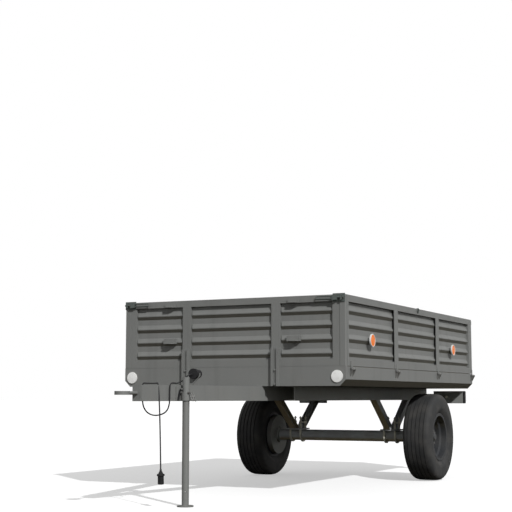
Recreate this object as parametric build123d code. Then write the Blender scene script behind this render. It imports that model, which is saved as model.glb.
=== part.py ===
"""Single-axle drop-side farm trailer, parked on its wheels and its drawbar jack.

Frame: +Z up, the drawbar points along -Y and the tail along +Y, millimetres.
The origin is the middle of the whole trailer's footprint, on the ground.
"""

import math
import os

from build123d import *

os.makedirs("parts", exist_ok=True)

# Load body
BODY_WIDTH = 2100.0
BODY_LENGTH = 3574.0
BODY_TOP_Z = 1642.0
BOARD_FOOT_Z = 1064.0
SEAM_GAP = 6.0
SEAM_DEPTH = 1.5
SIDE_RAIL_FOOT_Z = 955.0
FLOOR_THICKNESS = 4.0
RAIL_DEPTH = 60.0
RAIL_CHAMFER = 52.0

# Boards: a frame of rails and posts around pressed ribbed sheets
BOARD_DEPTH = 30.0
TOP_RAIL_HEIGHT = 56.0
FOOT_RAIL_HEIGHT = 60.0
POST_WALL = 4.0
FRONT_POST_WIDTH = 80.0
FRONT_POST_OFFSET = 426.0
FRONT_END_POST = 60.0
SIDE_POST_WIDTH = 92.0
SIDE_FRONT_POST = 34.0
REAR_END_POST = 108.0
POST_PROUD = 4.0
PILLAR_WIDTH = 52.0
PILLAR_DEPTH = 34.0
PILLAR_BEVEL = 3.0
PIECE_GAP = 0.3
BOARD_GAP = 6.0

# Pressed ribs, as shares of the height of one rib's strip
SHEET_THICKNESS = 3.0
RIB_COUNT = 4
RIB_DEPTH = 20.0
RIB_END_RUN = 8.0
RIB_END_GAP = 1.5
RIB_TOP_SHARE = 0.277
RIB_CREST_SHARE = 0.577
RIB_CREST_END_SHARE = 0.640
RIB_FOOT_SHARE = 0.875

# Board hinges
HINGE_PIN_RADIUS = 6.0
HINGE_BORE_RADIUS = 6.08
HINGE_EYE_RADIUS = 12.0
HINGE_EYE_WIDTH = 36.0
HINGE_DROP = 24.0
HINGE_PROUD = 16.0
HINGE_STRAP = 7.0
HINGE_FRONT_LEAD = 80.0
HINGE_STRAP_RISE = 40.0
LUG_THICKNESS = 10.0
LUG_SIDE_GAP = 2.0
LUG_FOOT_DROP = 62.0
LUG_HEAD_RISE = 10.0

# Chassis
BEAM_CENTRE_X = 520.0
BEAM_WIDTH = 60.0
BEAM_FOOT_Z = 783.0
BEAM_HEIGHT = 120.0
SECTION_WALL = 6.0
BEAM_START = 100.0
TAIL_TUBE = 40.0
CROSS_MEMBER_COUNT = 7
CROSS_MEMBER_WIDTH = 50.0

# Drawbar, measured from the body's front face towards -Y
EYE_REACH = 1700.0
EYE_LENGTH = 245.0
NOSE_HALF_WIDTH = 35.0
NOSE_THICKNESS = 12.0
ARM_FACE_X_AT_BODY = 300.0
ARM_WIDTH = 50.0
EYE_OUTER_RADIUS = 55.0
EYE_BORE_RADIUS = 20.5
EYE_THICKNESS = 27.0
SHANK_RADIUS = 13.0

# Jack, a tube that slides in a clamp on the left arm
JACK_OFFSET = 55.0
JACK_AHEAD = 1026.0
JACK_RADIUS = 27.0
JACK_WALL = 4.0
JACK_TOP_Z = 962.0
CLAMP_RADIUS = 36.0
CLAMP_BORE_RADIUS = 27.08
CLAMP_FOOT_Z = 786.0
CLAMP_HEIGHT = 62.0
CLAMP_PLATE = 8.0
CLAMP_PLATE_HALF = 48.0
CLAMP_PLATE_HEIGHT = 108.0
FOOT_RADIUS = 62.0
FOOT_THICKNESS = 10.0
JACK_HOLE_Z = 110.0
JACK_HOLE_RADIUS = 5.0

# Running gear
AXLE_BEHIND_FRONT = 2495.0
AXLE_RADIUS = 55.0
TYRE_RADIUS = 422.5
TYRE_WIDTH = 276.0
WHEEL_X = 907.0
RIM_WIDTH = 230.0
RIM_FLANGE_RADIUS = 232.0
BEAD_RADIUS = 213.0
WELL_RADIUS = 190.0
RIM_WALL = 6.0
DISC_THICKNESS = 10.0
HUB_RADIUS = 80.0
HUB_FLANGE_RADIUS = 125.0
HUB_FLANGE = 14.0
HUB_REACH = 48.0
CAP_RADIUS = 36.0
CAP_REACH = 72.0
DRUM_RADIUS = 165.0
DRUM_WIDTH = 140.0
DRUM_WALL = 10.0
BACKING_RADIUS = 200.0
BACKING_GAP = 8.0
BACKING_PLATE = 6.0
BACKING_LIP = 47.0
SPINDLE_RADIUS = 30.0
SPINDLE_BORE_RADIUS = 30.08
STRUT_SIZE = 64.0
STRUT_WALL = 5.0
STRUT_SPREAD = 460.0
STRUT_FOOT_OFFSET = 78.0
SADDLE_LENGTH = 250.0
SADDLE_WIDTH = 156.0
SADDLE_THICKNESS = 14.0
U_BOLT_OFFSET = 58.0
U_BOLT_SIZE = 16.0
U_BOLT_RISE = 150.0
CAP_PLATE = 10.0

# Tail lamps on outriggers
LAMP_INNER_X = 630.0
LAMP_OUTER_X = 975.0
LAMP_HEIGHT = 132.0
LAMP_FOOT_Z = 745.0
LAMP_DEPTH = 44.0
LAMP_PLATE = 4.0

# Reflectors
WHITE_REFLECTOR_X = 975.0
WHITE_REFLECTOR_Z = 980.0
REFLECTOR_RADIUS = 56.0
WHITE_REFLECTOR_DEPTH = 10.0
AMBER_REFLECTORS = (548.0, 2834.0)
AMBER_REFLECTOR_DROP = 353.0
AMBER_PROUD = 14.0
AMBER_DEPTH = 14.0
STEM_RADIUS = 8.0

HALF_WIDTH = BODY_WIDTH / 2
BOARD_HEIGHT = BODY_TOP_Z - BOARD_FOOT_Z
FLOOR_TOP_Z = BOARD_FOOT_Z - SEAM_GAP
FRONT_RAIL_FOOT_Z = SIDE_RAIL_FOOT_Z - RAIL_CHAMFER
BEAM_TOP_Z = BEAM_FOOT_Z + BEAM_HEIGHT
REAR_REACH = HINGE_PROUD + HINGE_EYE_RADIUS
FRONT_Y = (EYE_REACH - BODY_LENGTH - REAR_REACH) / 2
REAR_Y = FRONT_Y + BODY_LENGTH
AXLE_Y = FRONT_Y + AXLE_BEHIND_FRONT
AXLE_Z = TYRE_RADIUS
DRAWBAR_NOSE = EYE_REACH - EYE_LENGTH
NOSE_Y = FRONT_Y - DRAWBAR_NOSE
JACK_Y = FRONT_Y - JACK_AHEAD
ARM_LEAN = (ARM_FACE_X_AT_BODY - NOSE_HALF_WIDTH) / DRAWBAR_NOSE
JACK_X = ARM_FACE_X_AT_BODY - ARM_LEAN * JACK_AHEAD + JACK_OFFSET
BEAM_END_Y = REAR_Y - LAMP_DEPTH


def block(x0, x1, y0, y1, z0, z1):
    """A box given by its low and high corner on each axis."""
    size = (x1 - x0, y1 - y0, z1 - z0)
    middle = ((x0 + x1) / 2, (y0 + y1) / 2, (z0 + z1) / 2)
    return Pos(*middle) * Box(*size)


def rod(start, end, radius):
    """A round bar between two points."""
    way = Vector(*end) - Vector(*start)
    ring = Plane(origin=start, z_dir=way) * Circle(radius)
    return sweep(ring, path=Edge.make_line(start, end))


def along_x(x0, x1, radius, y, z):
    """A round bar lying along X."""
    return Pos((x0 + x1) / 2, y, z) * Rot(0, 90, 0) * Cylinder(radius, x1 - x0)


def along_y(y0, y1, radius, x, z):
    """A round bar lying along Y."""
    return Pos(x, (y0 + y1) / 2, z) * Rot(90, 0, 0) * Cylinder(radius, y1 - y0)


def prism(points, amount, way):
    """A straight prism on a closed outline of points in space."""
    return extrude(make_face(Polyline(*points, close=True)), amount=amount, dir=way)


def mirrored(shape):
    """The same piece on the trailer's other side."""
    return mirror(shape, about=Plane.YZ)


def both(shape):
    """The piece and its mirror image, as one compound."""
    return Compound(children=[shape, mirrored(shape)])


def save(shape, name):
    """Writes one node."""
    export_step(shape, f"parts/{name}.step")


def arm_face_x(ahead):
    """Outer face of the left drawbar arm, this far ahead of the body."""
    return ARM_FACE_X_AT_BODY - ARM_LEAN * ahead


# Each board is drawn lying along X with its outer face at Y = 0 and its foot at
# Z = 0, then turned into place.
BAY_FOOT = FOOT_RAIL_HEIGHT
BAY_TOP = BOARD_HEIGHT - TOP_RAIL_HEIGHT
SHEET_FACE = BOARD_DEPTH - SHEET_THICKNESS


def board_spans(length, first_width, last_width, centres, width):
    """Post spans along a board, from its left end to its right end."""
    spans = [(0.0, first_width)]
    for centre in centres:
        spans.append((centre - width / 2, centre + width / 2))
    spans.append((length - last_width, length))
    return spans


def board_frame(spans, proud=0.0):
    """Rails, solid end posts and open-sided posts whose webs may stand proud."""
    length = spans[-1][1]
    frame = block(0, length, 0, BOARD_DEPTH, BAY_TOP, BOARD_HEIGHT)
    frame = frame + block(0, length, 0, BOARD_DEPTH, 0, BAY_FOOT)
    for x0, x1 in (spans[0], spans[-1]):
        frame = frame + block(x0, x1, 0, BOARD_DEPTH, BAY_FOOT, BAY_TOP)
    for x0, x1 in spans[1:-1]:
        post = block(x0, x1, -proud, BOARD_DEPTH, BAY_FOOT, BAY_TOP)
        hollow = block(
            x0 - 1, x1 - POST_WALL, POST_WALL - proud / 2, SHEET_FACE, BAY_FOOT, BAY_TOP
        )
        frame = frame + (post - hollow)
        if proud > 0:
            frame = frame + block(x0, x1, -proud, 0, 0, BAY_FOOT)
    return frame


def pressed_rib(x0, x1, top, depth):
    """One rib as a solid whose back lies in the plane Y = depth, with mitred ends."""
    strip = (BAY_TOP - BAY_FOOT) / RIB_COUNT
    crest = depth - RIB_DEPTH
    outline = [
        (x0, depth, top - RIB_TOP_SHARE * strip),
        (x0, crest, top - RIB_CREST_SHARE * strip),
        (x0, crest, top - RIB_CREST_END_SHARE * strip),
        (x0, depth, top - RIB_FOOT_SHARE * strip),
    ]
    bar = prism(outline, x1 - x0, (1, 0, 0))
    plan = [
        (x0, depth, BAY_FOOT),
        (x0 + RIB_END_RUN, crest, BAY_FOOT),
        (x1 - RIB_END_RUN, crest, BAY_FOOT),
        (x1, depth, BAY_FOOT),
    ]
    return bar & prism(plan, BAY_TOP - BAY_FOOT, (0, 0, 1))


def bay_sheet(x0, x1, hollow=True):
    """The pressed sheet of one bay: a flat with ribs bulging out of it."""
    sheet = block(x0, x1, SHEET_FACE, BOARD_DEPTH, BAY_FOOT, BAY_TOP)
    strip = (BAY_TOP - BAY_FOOT) / RIB_COUNT
    left = x0 + RIB_END_GAP
    right = x1 - RIB_END_GAP
    tops = [BAY_TOP - step * strip for step in range(RIB_COUNT)]
    for top in tops:
        sheet = sheet + pressed_rib(left, right, top, SHEET_FACE)
    if hollow:
        inset = SHEET_THICKNESS
        for top in tops:
            sheet = sheet - pressed_rib(left + inset, right - inset, top, BOARD_DEPTH)
    return sheet


def board_sheet(spans, hollow=True):
    """Pressed sheets between the posts of one board."""
    bays = []
    for left, right in zip(spans, spans[1:]):
        bays.append(bay_sheet(left[1], right[0], hollow))
    return Compound(children=bays)


def hinge_straps(middles):
    """Strap and eye on the board for each hinge."""
    pieces = []
    for middle in middles:
        x0 = middle - HINGE_EYE_WIDTH / 2
        x1 = middle + HINGE_EYE_WIDTH / 2
        eye = along_x(x0, x1, HINGE_EYE_RADIUS, -HINGE_PROUD, -HINGE_DROP)
        back = -HINGE_PROUD + HINGE_EYE_RADIUS
        outline = [
            (x0, -HINGE_STRAP, -HINGE_DROP),
            (x0, back, -HINGE_DROP),
            (x0, back, -2),
            (x0, 0, 2),
            (x0, 0, HINGE_STRAP_RISE),
            (x0, -HINGE_STRAP, HINGE_STRAP_RISE),
        ]
        strap = prism(outline, HINGE_EYE_WIDTH, (1, 0, 0))
        bore = along_x(x0 - 1, x1 + 1, HINGE_BORE_RADIUS, -HINGE_PROUD, -HINGE_DROP)
        pieces.append(eye + strap - bore)
    return pieces


def hinge_lugs(middles):
    """Two lugs and the pin on the fixed rail for each hinge."""
    pieces = []
    half = HINGE_EYE_WIDTH / 2 + LUG_SIDE_GAP
    reach = half + LUG_THICKNESS
    for middle in middles:
        pin = along_x(
            middle - reach, middle + reach, HINGE_PIN_RADIUS, -HINGE_PROUD, -HINGE_DROP
        )
        outer = -HINGE_PROUD - HINGE_EYE_RADIUS
        for x0 in (middle - reach, middle + half):
            outline = [
                (x0, 0, -HINGE_DROP + LUG_HEAD_RISE),
                (x0, outer + 5, -HINGE_DROP + LUG_HEAD_RISE),
                (x0, outer, -HINGE_DROP + LUG_HEAD_RISE - 5),
                (x0, outer, -HINGE_DROP - LUG_HEAD_RISE),
                (x0, 0, -HINGE_DROP - LUG_FOOT_DROP),
            ]
            pin = pin + prism(outline, LUG_THICKNESS, (1, 0, 0))
        pieces.append(pin)
    return pieces


SIDE_START = PILLAR_DEPTH + BOARD_GAP
SIDE_LENGTH = BODY_LENGTH - SIDE_START
FRONT_HALF = HALF_WIDTH - PILLAR_WIDTH - PIECE_GAP
REAR_HALF = HALF_WIDTH - BOARD_DEPTH - BOARD_GAP

front_spans = board_spans(
    2 * FRONT_HALF,
    FRONT_END_POST,
    FRONT_END_POST,
    (FRONT_HALF - FRONT_POST_OFFSET, FRONT_HALF + FRONT_POST_OFFSET),
    FRONT_POST_WIDTH,
)
side_thirds = [BODY_LENGTH * share - SIDE_START for share in (1 / 3, 2 / 3)]
side_spans = board_spans(
    SIDE_LENGTH, SIDE_FRONT_POST, REAR_END_POST, side_thirds, SIDE_POST_WIDTH
)
rear_spans = board_spans(
    2 * REAR_HALF,
    REAR_END_POST,
    REAR_END_POST,
    (REAR_HALF - FRONT_POST_OFFSET, REAR_HALF + FRONT_POST_OFFSET),
    FRONT_POST_WIDTH,
)

# The last side hinge ends flush with the rail's tail end.
hinge_reach = HINGE_EYE_WIDTH / 2 + LUG_SIDE_GAP + LUG_THICKNESS
side_hinges = [HINGE_FRONT_LEAD, *side_thirds, SIDE_LENGTH - hinge_reach]
rear_hinges = [(left + right) / 2 for left, right in rear_spans]

FRONT_PLACE = Pos(-FRONT_HALF, FRONT_Y, BOARD_FOOT_Z)
SIDE_PLACE = Pos(HALF_WIDTH, FRONT_Y + SIDE_START, BOARD_FOOT_Z) * Rot(0, 0, 90)
REAR_PLACE = Pos(REAR_HALF, REAR_Y, BOARD_FOOT_Z) * Rot(0, 0, 180)

save(FRONT_PLACE * board_frame(front_spans), "front_board_frame")
save(FRONT_PLACE * board_sheet(front_spans), "front_board_sheet")

# The side board's tail end carries the keeper for the tailboard's latch.
KEEPER_REACH = 20.0
KEEPER_INSET = 3.0
KEEPER_DROP = 12.0
side_frame = board_frame(side_spans, POST_PROUD)
for strap in hinge_straps(side_hinges):
    side_frame = side_frame + strap
side_frame = side_frame + block(
    SIDE_LENGTH,
    SIDE_LENGTH + KEEPER_REACH,
    KEEPER_INSET,
    BOARD_DEPTH - KEEPER_INSET,
    BOARD_HEIGHT - TOP_RAIL_HEIGHT,
    BOARD_HEIGHT - KEEPER_DROP,
)
side_frame = SIDE_PLACE * side_frame
side_sheet = SIDE_PLACE * board_sheet(side_spans)
save(side_frame, "side_board_frame_left")
save(side_sheet, "side_board_sheet_left")
save(mirrored(side_frame), "side_board_frame_right")
save(mirrored(side_sheet), "side_board_sheet_right")

rear_frame = board_frame(rear_spans, POST_PROUD)
for strap in hinge_straps(rear_hinges):
    rear_frame = rear_frame + strap
save(REAR_PLACE * rear_frame, "rear_board_frame")
save(REAR_PLACE * board_sheet(rear_spans), "rear_board_sheet")

lugs = [SIDE_PLACE * piece for piece in hinge_lugs(side_hinges)]
lugs = lugs + [mirrored(piece) for piece in lugs]
lugs = lugs + [REAR_PLACE * piece for piece in hinge_lugs(rear_hinges)]
save(Compound(children=lugs), "hinge_lugs")

# Pillars at the front corners, bevelled where they meet the board
pillar = block(
    HALF_WIDTH - PILLAR_WIDTH,
    HALF_WIDTH,
    FRONT_Y,
    FRONT_Y + PILLAR_DEPTH,
    BOARD_FOOT_Z,
    BODY_TOP_Z,
)
pillar = chamfer(pillar.edges().filter_by(Axis.Z).group_by(Axis.Y)[0], PILLAR_BEVEL)
save(both(pillar), "corner_pillars")

# Pinned channels that hold the front board's posts to the platform
CHANNEL_WIDTH = 66.0
CHANNEL_DEPTH = 30.0
CHANNEL_LIP = 18.0
CHANNEL_GROOVE = 14.0
CHANNEL_TOP_Z = 1217.0
CHANNEL_PINS = (1036.0, 920.0)
CHANNEL_PIN_RADIUS = 8.0
groove_floor_y = FRONT_Y - CHANNEL_DEPTH + CHANNEL_GROOVE
channel = block(
    FRONT_POST_OFFSET - CHANNEL_WIDTH / 2,
    FRONT_POST_OFFSET + CHANNEL_WIDTH / 2,
    FRONT_Y - CHANNEL_DEPTH,
    FRONT_Y,
    FRONT_RAIL_FOOT_Z,
    CHANNEL_TOP_Z,
)
channel = channel - block(
    FRONT_POST_OFFSET - CHANNEL_WIDTH / 2 + CHANNEL_LIP,
    FRONT_POST_OFFSET + CHANNEL_WIDTH / 2 - CHANNEL_LIP,
    FRONT_Y - CHANNEL_DEPTH - 1,
    groove_floor_y,
    FRONT_RAIL_FOOT_Z - 1,
    CHANNEL_TOP_Z + 1,
)
for pin_z in CHANNEL_PINS:
    channel = channel + along_y(
        FRONT_Y - CHANNEL_DEPTH,
        groove_floor_y,
        CHANNEL_PIN_RADIUS,
        FRONT_POST_OFFSET,
        pin_z,
    )
save(both(channel), "post_channels")

# Steps on the front board: one on a rib's crest, one on the top rail. Each has
# its width, foot, head, reach ahead of the board and depth into the sheet.
STEP_X = 592.0
STEP_PLATE = 4.0
TONGUE_THICKNESS = 5.0
TONGUE_REACH = 40.0
TONGUE_ROOT = 90.0
TONGUE_TIP = 64.0
TONGUE_FILLET = 20.0
UPPER_STEP_HEIGHT = 34.0
UPPER_STEP_Z = BODY_TOP_Z - TOP_RAIL_HEIGHT
step_table = (
    (122.0, 1270.0, 1316.0, 13.0, RIB_DEPTH),
    (100.0, UPPER_STEP_Z, UPPER_STEP_Z + UPPER_STEP_HEIGHT, 14.0, 0.0),
)
front_solid = FRONT_PLACE * board_sheet(front_spans, hollow=False)
steps = []
for width, z0, z1, proud, sunk in step_table:
    x0 = STEP_X - width / 2
    x1 = STEP_X + width / 2
    step = block(x0, x1, FRONT_Y - proud, FRONT_Y + sunk, z0, z1)
    step = step - block(
        x0 + STEP_PLATE,
        x1 - STEP_PLATE,
        FRONT_Y - proud + STEP_PLATE,
        FRONT_Y + sunk + 1,
        z0 - 1,
        z1 + 1,
    )
    if sunk > 0:
        step = step - front_solid
    tongue_plan = [
        (STEP_X - TONGUE_ROOT / 2, FRONT_Y - proud + STEP_PLATE / 2, z0),
        (STEP_X - TONGUE_TIP / 2, FRONT_Y - TONGUE_REACH, z0),
        (STEP_X + TONGUE_TIP / 2, FRONT_Y - TONGUE_REACH, z0),
        (STEP_X + TONGUE_ROOT / 2, FRONT_Y - proud + STEP_PLATE / 2, z0),
    ]
    tongue = prism(tongue_plan, TONGUE_THICKNESS, (0, 0, 1))
    tip_edges = tongue.edges().filter_by(Axis.Z).group_by(Axis.Y)[0]
    steps.append(step + fillet(tip_edges, TONGUE_FILLET))
save(both(Compound(children=steps)), "front_steps")

# Spring latches at the front corners: a backing plate, a box, a cheek, the bolt
# through them and a handle bent to a U
LATCH_DROP = 25.0
LATCH_GAP = 0.2
LATCH_PLATE = 8.0
LATCH_WIDTH = 106.0
LATCH_HEIGHT = 68.0
LATCH_RISE = 8.0
LATCH_BOX_WIDTH = 46.0
LATCH_BOX_HEIGHT = 44.0
LATCH_BOX_REACH = 32.0
LATCH_CHEEK = 14.0
LATCH_CHEEK_EDGE = 18.0
BOLT_RADIUS = 8.0
BOLT_REACH = 20.0
BOLT_EDGE = 6.0
HANDLE_LENGTH = 140.0
HANDLE_SPACING = 22.0
HANDLE_RADIUS = 5.0
latch_z = BODY_TOP_Z - LATCH_DROP
latch_inner = HALF_WIDTH - LATCH_WIDTH
latch_top = BODY_TOP_Z + LATCH_RISE
latch_face_y = FRONT_Y - LATCH_PLATE
latch = block(
    latch_inner, HALF_WIDTH, latch_face_y, FRONT_Y - LATCH_GAP, latch_top - LATCH_HEIGHT, latch_top
)
cheek_outer = HALF_WIDTH - LATCH_CHEEK_EDGE
latch_bodies = (
    (latch_inner, latch_inner + LATCH_BOX_WIDTH),
    (cheek_outer - LATCH_CHEEK, cheek_outer),
)
for x0, x1 in latch_bodies:
    latch = latch + block(
        x0,
        x1,
        FRONT_Y - LATCH_BOX_REACH,
        latch_face_y,
        latch_z - LATCH_BOX_HEIGHT / 2,
        latch_z + LATCH_BOX_HEIGHT / 2,
    )
bolt_y = FRONT_Y - BOLT_REACH
latch = latch + along_x(latch_inner, HALF_WIDTH - BOLT_EDGE, BOLT_RADIUS, bolt_y, latch_z)
handle_end = latch_inner - HANDLE_LENGTH
handle_zs = (latch_z - HANDLE_SPACING / 2, latch_z + HANDLE_SPACING / 2)
for z in handle_zs:
    latch = latch + along_x(handle_end, latch_inner + 1, HANDLE_RADIUS, bolt_y, z)
latch = latch + Pos(handle_end, bolt_y, latch_z) * Cylinder(HANDLE_RADIUS, HANDLE_SPACING)
for z in handle_zs:
    latch = latch + Pos(handle_end, bolt_y, z) * Sphere(HANDLE_RADIUS)
save(both(latch), "front_latches")

# Latches on the tailboard's top corners: plate, bolt, its guide and its grip
REAR_LATCH_EDGE = 4.0
REAR_LATCH_WIDTH = 80.0
REAR_LATCH_HEIGHT = 52.0
REAR_BOLT_RADIUS = 7.0
REAR_BOLT_REACH = 16.0
REAR_BOLT_LENGTH = 112.0
REAR_GUIDE_WIDTH = 30.0
REAR_GRIP_WIDTH = 14.0
REAR_GUIDE_HEIGHT = 34.0
rear_outer = REAR_HALF - REAR_LATCH_EDGE
rear_plate_y = REAR_Y + LATCH_PLATE
rear_bolt_outer = rear_outer - REAR_LATCH_EDGE
rear_bolt_inner = rear_bolt_outer - REAR_BOLT_LENGTH
rear_guide_y = REAR_Y + REAR_BOLT_REACH + REAR_BOLT_RADIUS
rear_latch = block(
    rear_outer - REAR_LATCH_WIDTH,
    rear_outer,
    REAR_Y + LATCH_GAP,
    rear_plate_y,
    BODY_TOP_Z - REAR_LATCH_EDGE - REAR_LATCH_HEIGHT,
    BODY_TOP_Z - REAR_LATCH_EDGE,
)
rear_latch = rear_latch + along_x(
    rear_bolt_inner, rear_bolt_outer, REAR_BOLT_RADIUS, REAR_Y + REAR_BOLT_REACH, latch_z
)
guide_middle = rear_outer - REAR_LATCH_WIDTH / 2
rear_bodies = (
    (guide_middle - REAR_GUIDE_WIDTH / 2, guide_middle + REAR_GUIDE_WIDTH / 2, rear_plate_y),
    (rear_bolt_inner, rear_bolt_inner + REAR_GRIP_WIDTH, REAR_Y + LATCH_GAP),
)
for x0, x1, y0 in rear_bodies:
    rear_latch = rear_latch + block(
        x0,
        x1,
        y0,
        rear_guide_y,
        latch_z - REAR_GUIDE_HEIGHT / 2,
        latch_z + REAR_GUIDE_HEIGHT / 2,
    )
save(both(rear_latch), "rear_latches")

# Platform: bevelled rails around the floor, cross members under it
side_rail_outline = [
    (HALF_WIDTH - RAIL_DEPTH, 0, FLOOR_TOP_Z),
    (HALF_WIDTH - RAIL_DEPTH, 0, FRONT_RAIL_FOOT_Z),
    (HALF_WIDTH - RAIL_CHAMFER, 0, FRONT_RAIL_FOOT_Z),
    (HALF_WIDTH, 0, SIDE_RAIL_FOOT_Z),
    (HALF_WIDTH, 0, FLOOR_TOP_Z),
]
rail_run = BODY_LENGTH - 2 * RAIL_DEPTH
side_rail = Pos(0, FRONT_Y + RAIL_DEPTH, 0) * prism(side_rail_outline, rail_run, (0, 1, 0))
save(both(side_rail), "side_rails")

end_outline = [
    (HALF_WIDTH - RAIL_CHAMFER, 0, FRONT_RAIL_FOOT_Z),
    (HALF_WIDTH, 0, SIDE_RAIL_FOOT_Z),
    (HALF_WIDTH, 0, FLOOR_TOP_Z),
    (-HALF_WIDTH, 0, FLOOR_TOP_Z),
    (-HALF_WIDTH, 0, SIDE_RAIL_FOOT_Z),
    (RAIL_CHAMFER - HALF_WIDTH, 0, FRONT_RAIL_FOOT_Z),
]
end_rail = prism(end_outline, RAIL_DEPTH, (0, 1, 0))
seat = block(-HALF_WIDTH, HALF_WIDTH, SEAM_DEPTH, PILLAR_DEPTH, FLOOR_TOP_Z, BOARD_FOOT_Z)
front_rail = Pos(0, FRONT_Y, 0) * (end_rail + seat)
rear_rail = Pos(0, REAR_Y - RAIL_DEPTH, 0) * end_rail
save(Compound(children=[front_rail, rear_rail]), "end_rails")

floor = block(
    -HALF_WIDTH + RAIL_DEPTH,
    HALF_WIDTH - RAIL_DEPTH,
    FRONT_Y + RAIL_DEPTH,
    REAR_Y - RAIL_DEPTH,
    FLOOR_TOP_Z - FLOOR_THICKNESS,
    FLOOR_TOP_Z,
)
save(floor, "floor_sheet")

members = []
member_run = BODY_LENGTH - 2 * RAIL_DEPTH - 2 * CROSS_MEMBER_WIDTH
member_step = member_run / (CROSS_MEMBER_COUNT - 1)
member_top = FLOOR_TOP_Z - FLOOR_THICKNESS
for index in range(CROSS_MEMBER_COUNT):
    start = FRONT_Y + RAIL_DEPTH + CROSS_MEMBER_WIDTH / 2 + index * member_step
    end = start + CROSS_MEMBER_WIDTH
    reach = HALF_WIDTH - RAIL_DEPTH
    member = block(-reach, reach, start, end, BEAM_TOP_Z, member_top)
    member = member - block(
        -reach - 1,
        reach + 1,
        start + SECTION_WALL,
        end + 1,
        BEAM_TOP_Z + SECTION_WALL,
        member_top - SECTION_WALL,
    )
    members.append(member)
save(Compound(children=members), "cross_members")

# Chassis beams: channels with their open sides turned in
beam_inner = BEAM_CENTRE_X - BEAM_WIDTH / 2
beam_outer = BEAM_CENTRE_X + BEAM_WIDTH / 2
beam_start = FRONT_Y + BEAM_START
beam = block(beam_inner, beam_outer, beam_start, BEAM_END_Y, BEAM_FOOT_Z, BEAM_TOP_Z)
beam = beam - block(
    beam_inner - 1,
    beam_outer - SECTION_WALL,
    beam_start - 1,
    BEAM_END_Y + 1,
    BEAM_FOOT_Z + SECTION_WALL,
    BEAM_TOP_Z - SECTION_WALL,
)
save(both(beam), "chassis_beams")

# Drawbar: two arms that spread from the nose plate to the beams
arm_start_y = NOSE_Y + NOSE_THICKNESS
arm_start_x = NOSE_HALF_WIDTH + NOSE_THICKNESS * ARM_LEAN
arm_end_x = beam_inner - PIECE_GAP
outer_end_y = NOSE_Y + (arm_end_x - NOSE_HALF_WIDTH) / ARM_LEAN
inner_end_y = outer_end_y + ARM_WIDTH / ARM_LEAN
meeting_y = NOSE_Y + (ARM_WIDTH - NOSE_HALF_WIDTH) / ARM_LEAN
arm_plan = [
    (0, arm_start_y, BEAM_FOOT_Z),
    (arm_start_x, arm_start_y, BEAM_FOOT_Z),
    (arm_end_x, outer_end_y, BEAM_FOOT_Z),
    (arm_end_x, inner_end_y, BEAM_FOOT_Z),
    (0, meeting_y, BEAM_FOOT_Z),
]
arm = prism(arm_plan, BEAM_HEIGHT, (0, 0, 1))
nose = block(
    -NOSE_HALF_WIDTH, NOSE_HALF_WIDTH, NOSE_Y, arm_start_y, BEAM_FOOT_Z, BEAM_TOP_Z
)
save(arm + mirrored(arm) + nose, "drawbar")

eye_y = FRONT_Y - EYE_REACH + EYE_OUTER_RADIUS
eye_z = BEAM_FOOT_Z + BEAM_HEIGHT / 2
ring = Pos(0, eye_y, eye_z) * Cylinder(EYE_OUTER_RADIUS, EYE_THICKNESS)
shank = rod((0, eye_y + 40, eye_z), (0, NOSE_Y, eye_z), SHANK_RADIUS)
eye_bore = Pos(0, eye_y, eye_z) * Cylinder(EYE_BORE_RADIUS, EYE_THICKNESS + 2)
save(ring + shank - eye_bore, "tow_eye")

# Jack clamp: a plate on the arm, a split ring and a tightening screw
plate_lean = math.degrees(math.atan(ARM_LEAN))
plate_place = Pos(arm_face_x(JACK_AHEAD), JACK_Y, CLAMP_FOOT_Z) * Rot(0, 0, -plate_lean)
plate = block(
    PIECE_GAP, CLAMP_PLATE, -CLAMP_PLATE_HALF, CLAMP_PLATE_HALF, 0, CLAMP_PLATE_HEIGHT
)
web = block(CLAMP_PLATE, JACK_X - arm_face_x(JACK_AHEAD), -16, 16, 0, CLAMP_HEIGHT)
clamp = plate_place * (plate + web)
ring_z = CLAMP_FOOT_Z + CLAMP_HEIGHT / 2
clamp = clamp + Pos(JACK_X, JACK_Y, ring_z) * Cylinder(CLAMP_RADIUS, CLAMP_HEIGHT)
clamp = clamp - Pos(JACK_X, JACK_Y, ring_z) * Cylinder(CLAMP_BORE_RADIUS, 300)
screw_start = (JACK_X + 28, JACK_Y + 20, ring_z)
screw_end = (JACK_X + 54, JACK_Y + 38, ring_z)
clamp = clamp + (
    rod(screw_start, screw_end, 8)
    - Pos(JACK_X, JACK_Y, ring_z) * Cylinder(CLAMP_BORE_RADIUS, 300)
)
clamp = clamp + rod(
    (JACK_X + 40, JACK_Y + 36, ring_z + 32), (JACK_X + 62, JACK_Y + 40, ring_z - 36), 4.5
)
save(clamp, "jack_clamp")

leg_height = JACK_TOP_Z - FOOT_THICKNESS
leg_z = FOOT_THICKNESS + leg_height / 2
leg = Pos(JACK_X, JACK_Y, leg_z) * Cylinder(JACK_RADIUS, leg_height)
leg = leg - Pos(JACK_X, JACK_Y, leg_z + 20) * Cylinder(JACK_RADIUS - JACK_WALL, leg_height)
foot = Pos(JACK_X, JACK_Y, FOOT_THICKNESS / 2) * Cylinder(FOOT_RADIUS, FOOT_THICKNESS)
hole_turn = Pos(JACK_X, JACK_Y, JACK_HOLE_Z) * Rot(0, 0, 35) * Rot(90, 0, 0)
leg = leg - hole_turn * Cylinder(JACK_HOLE_RADIUS, 3 * JACK_RADIUS)
save(leg + foot, "jack_leg")

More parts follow.
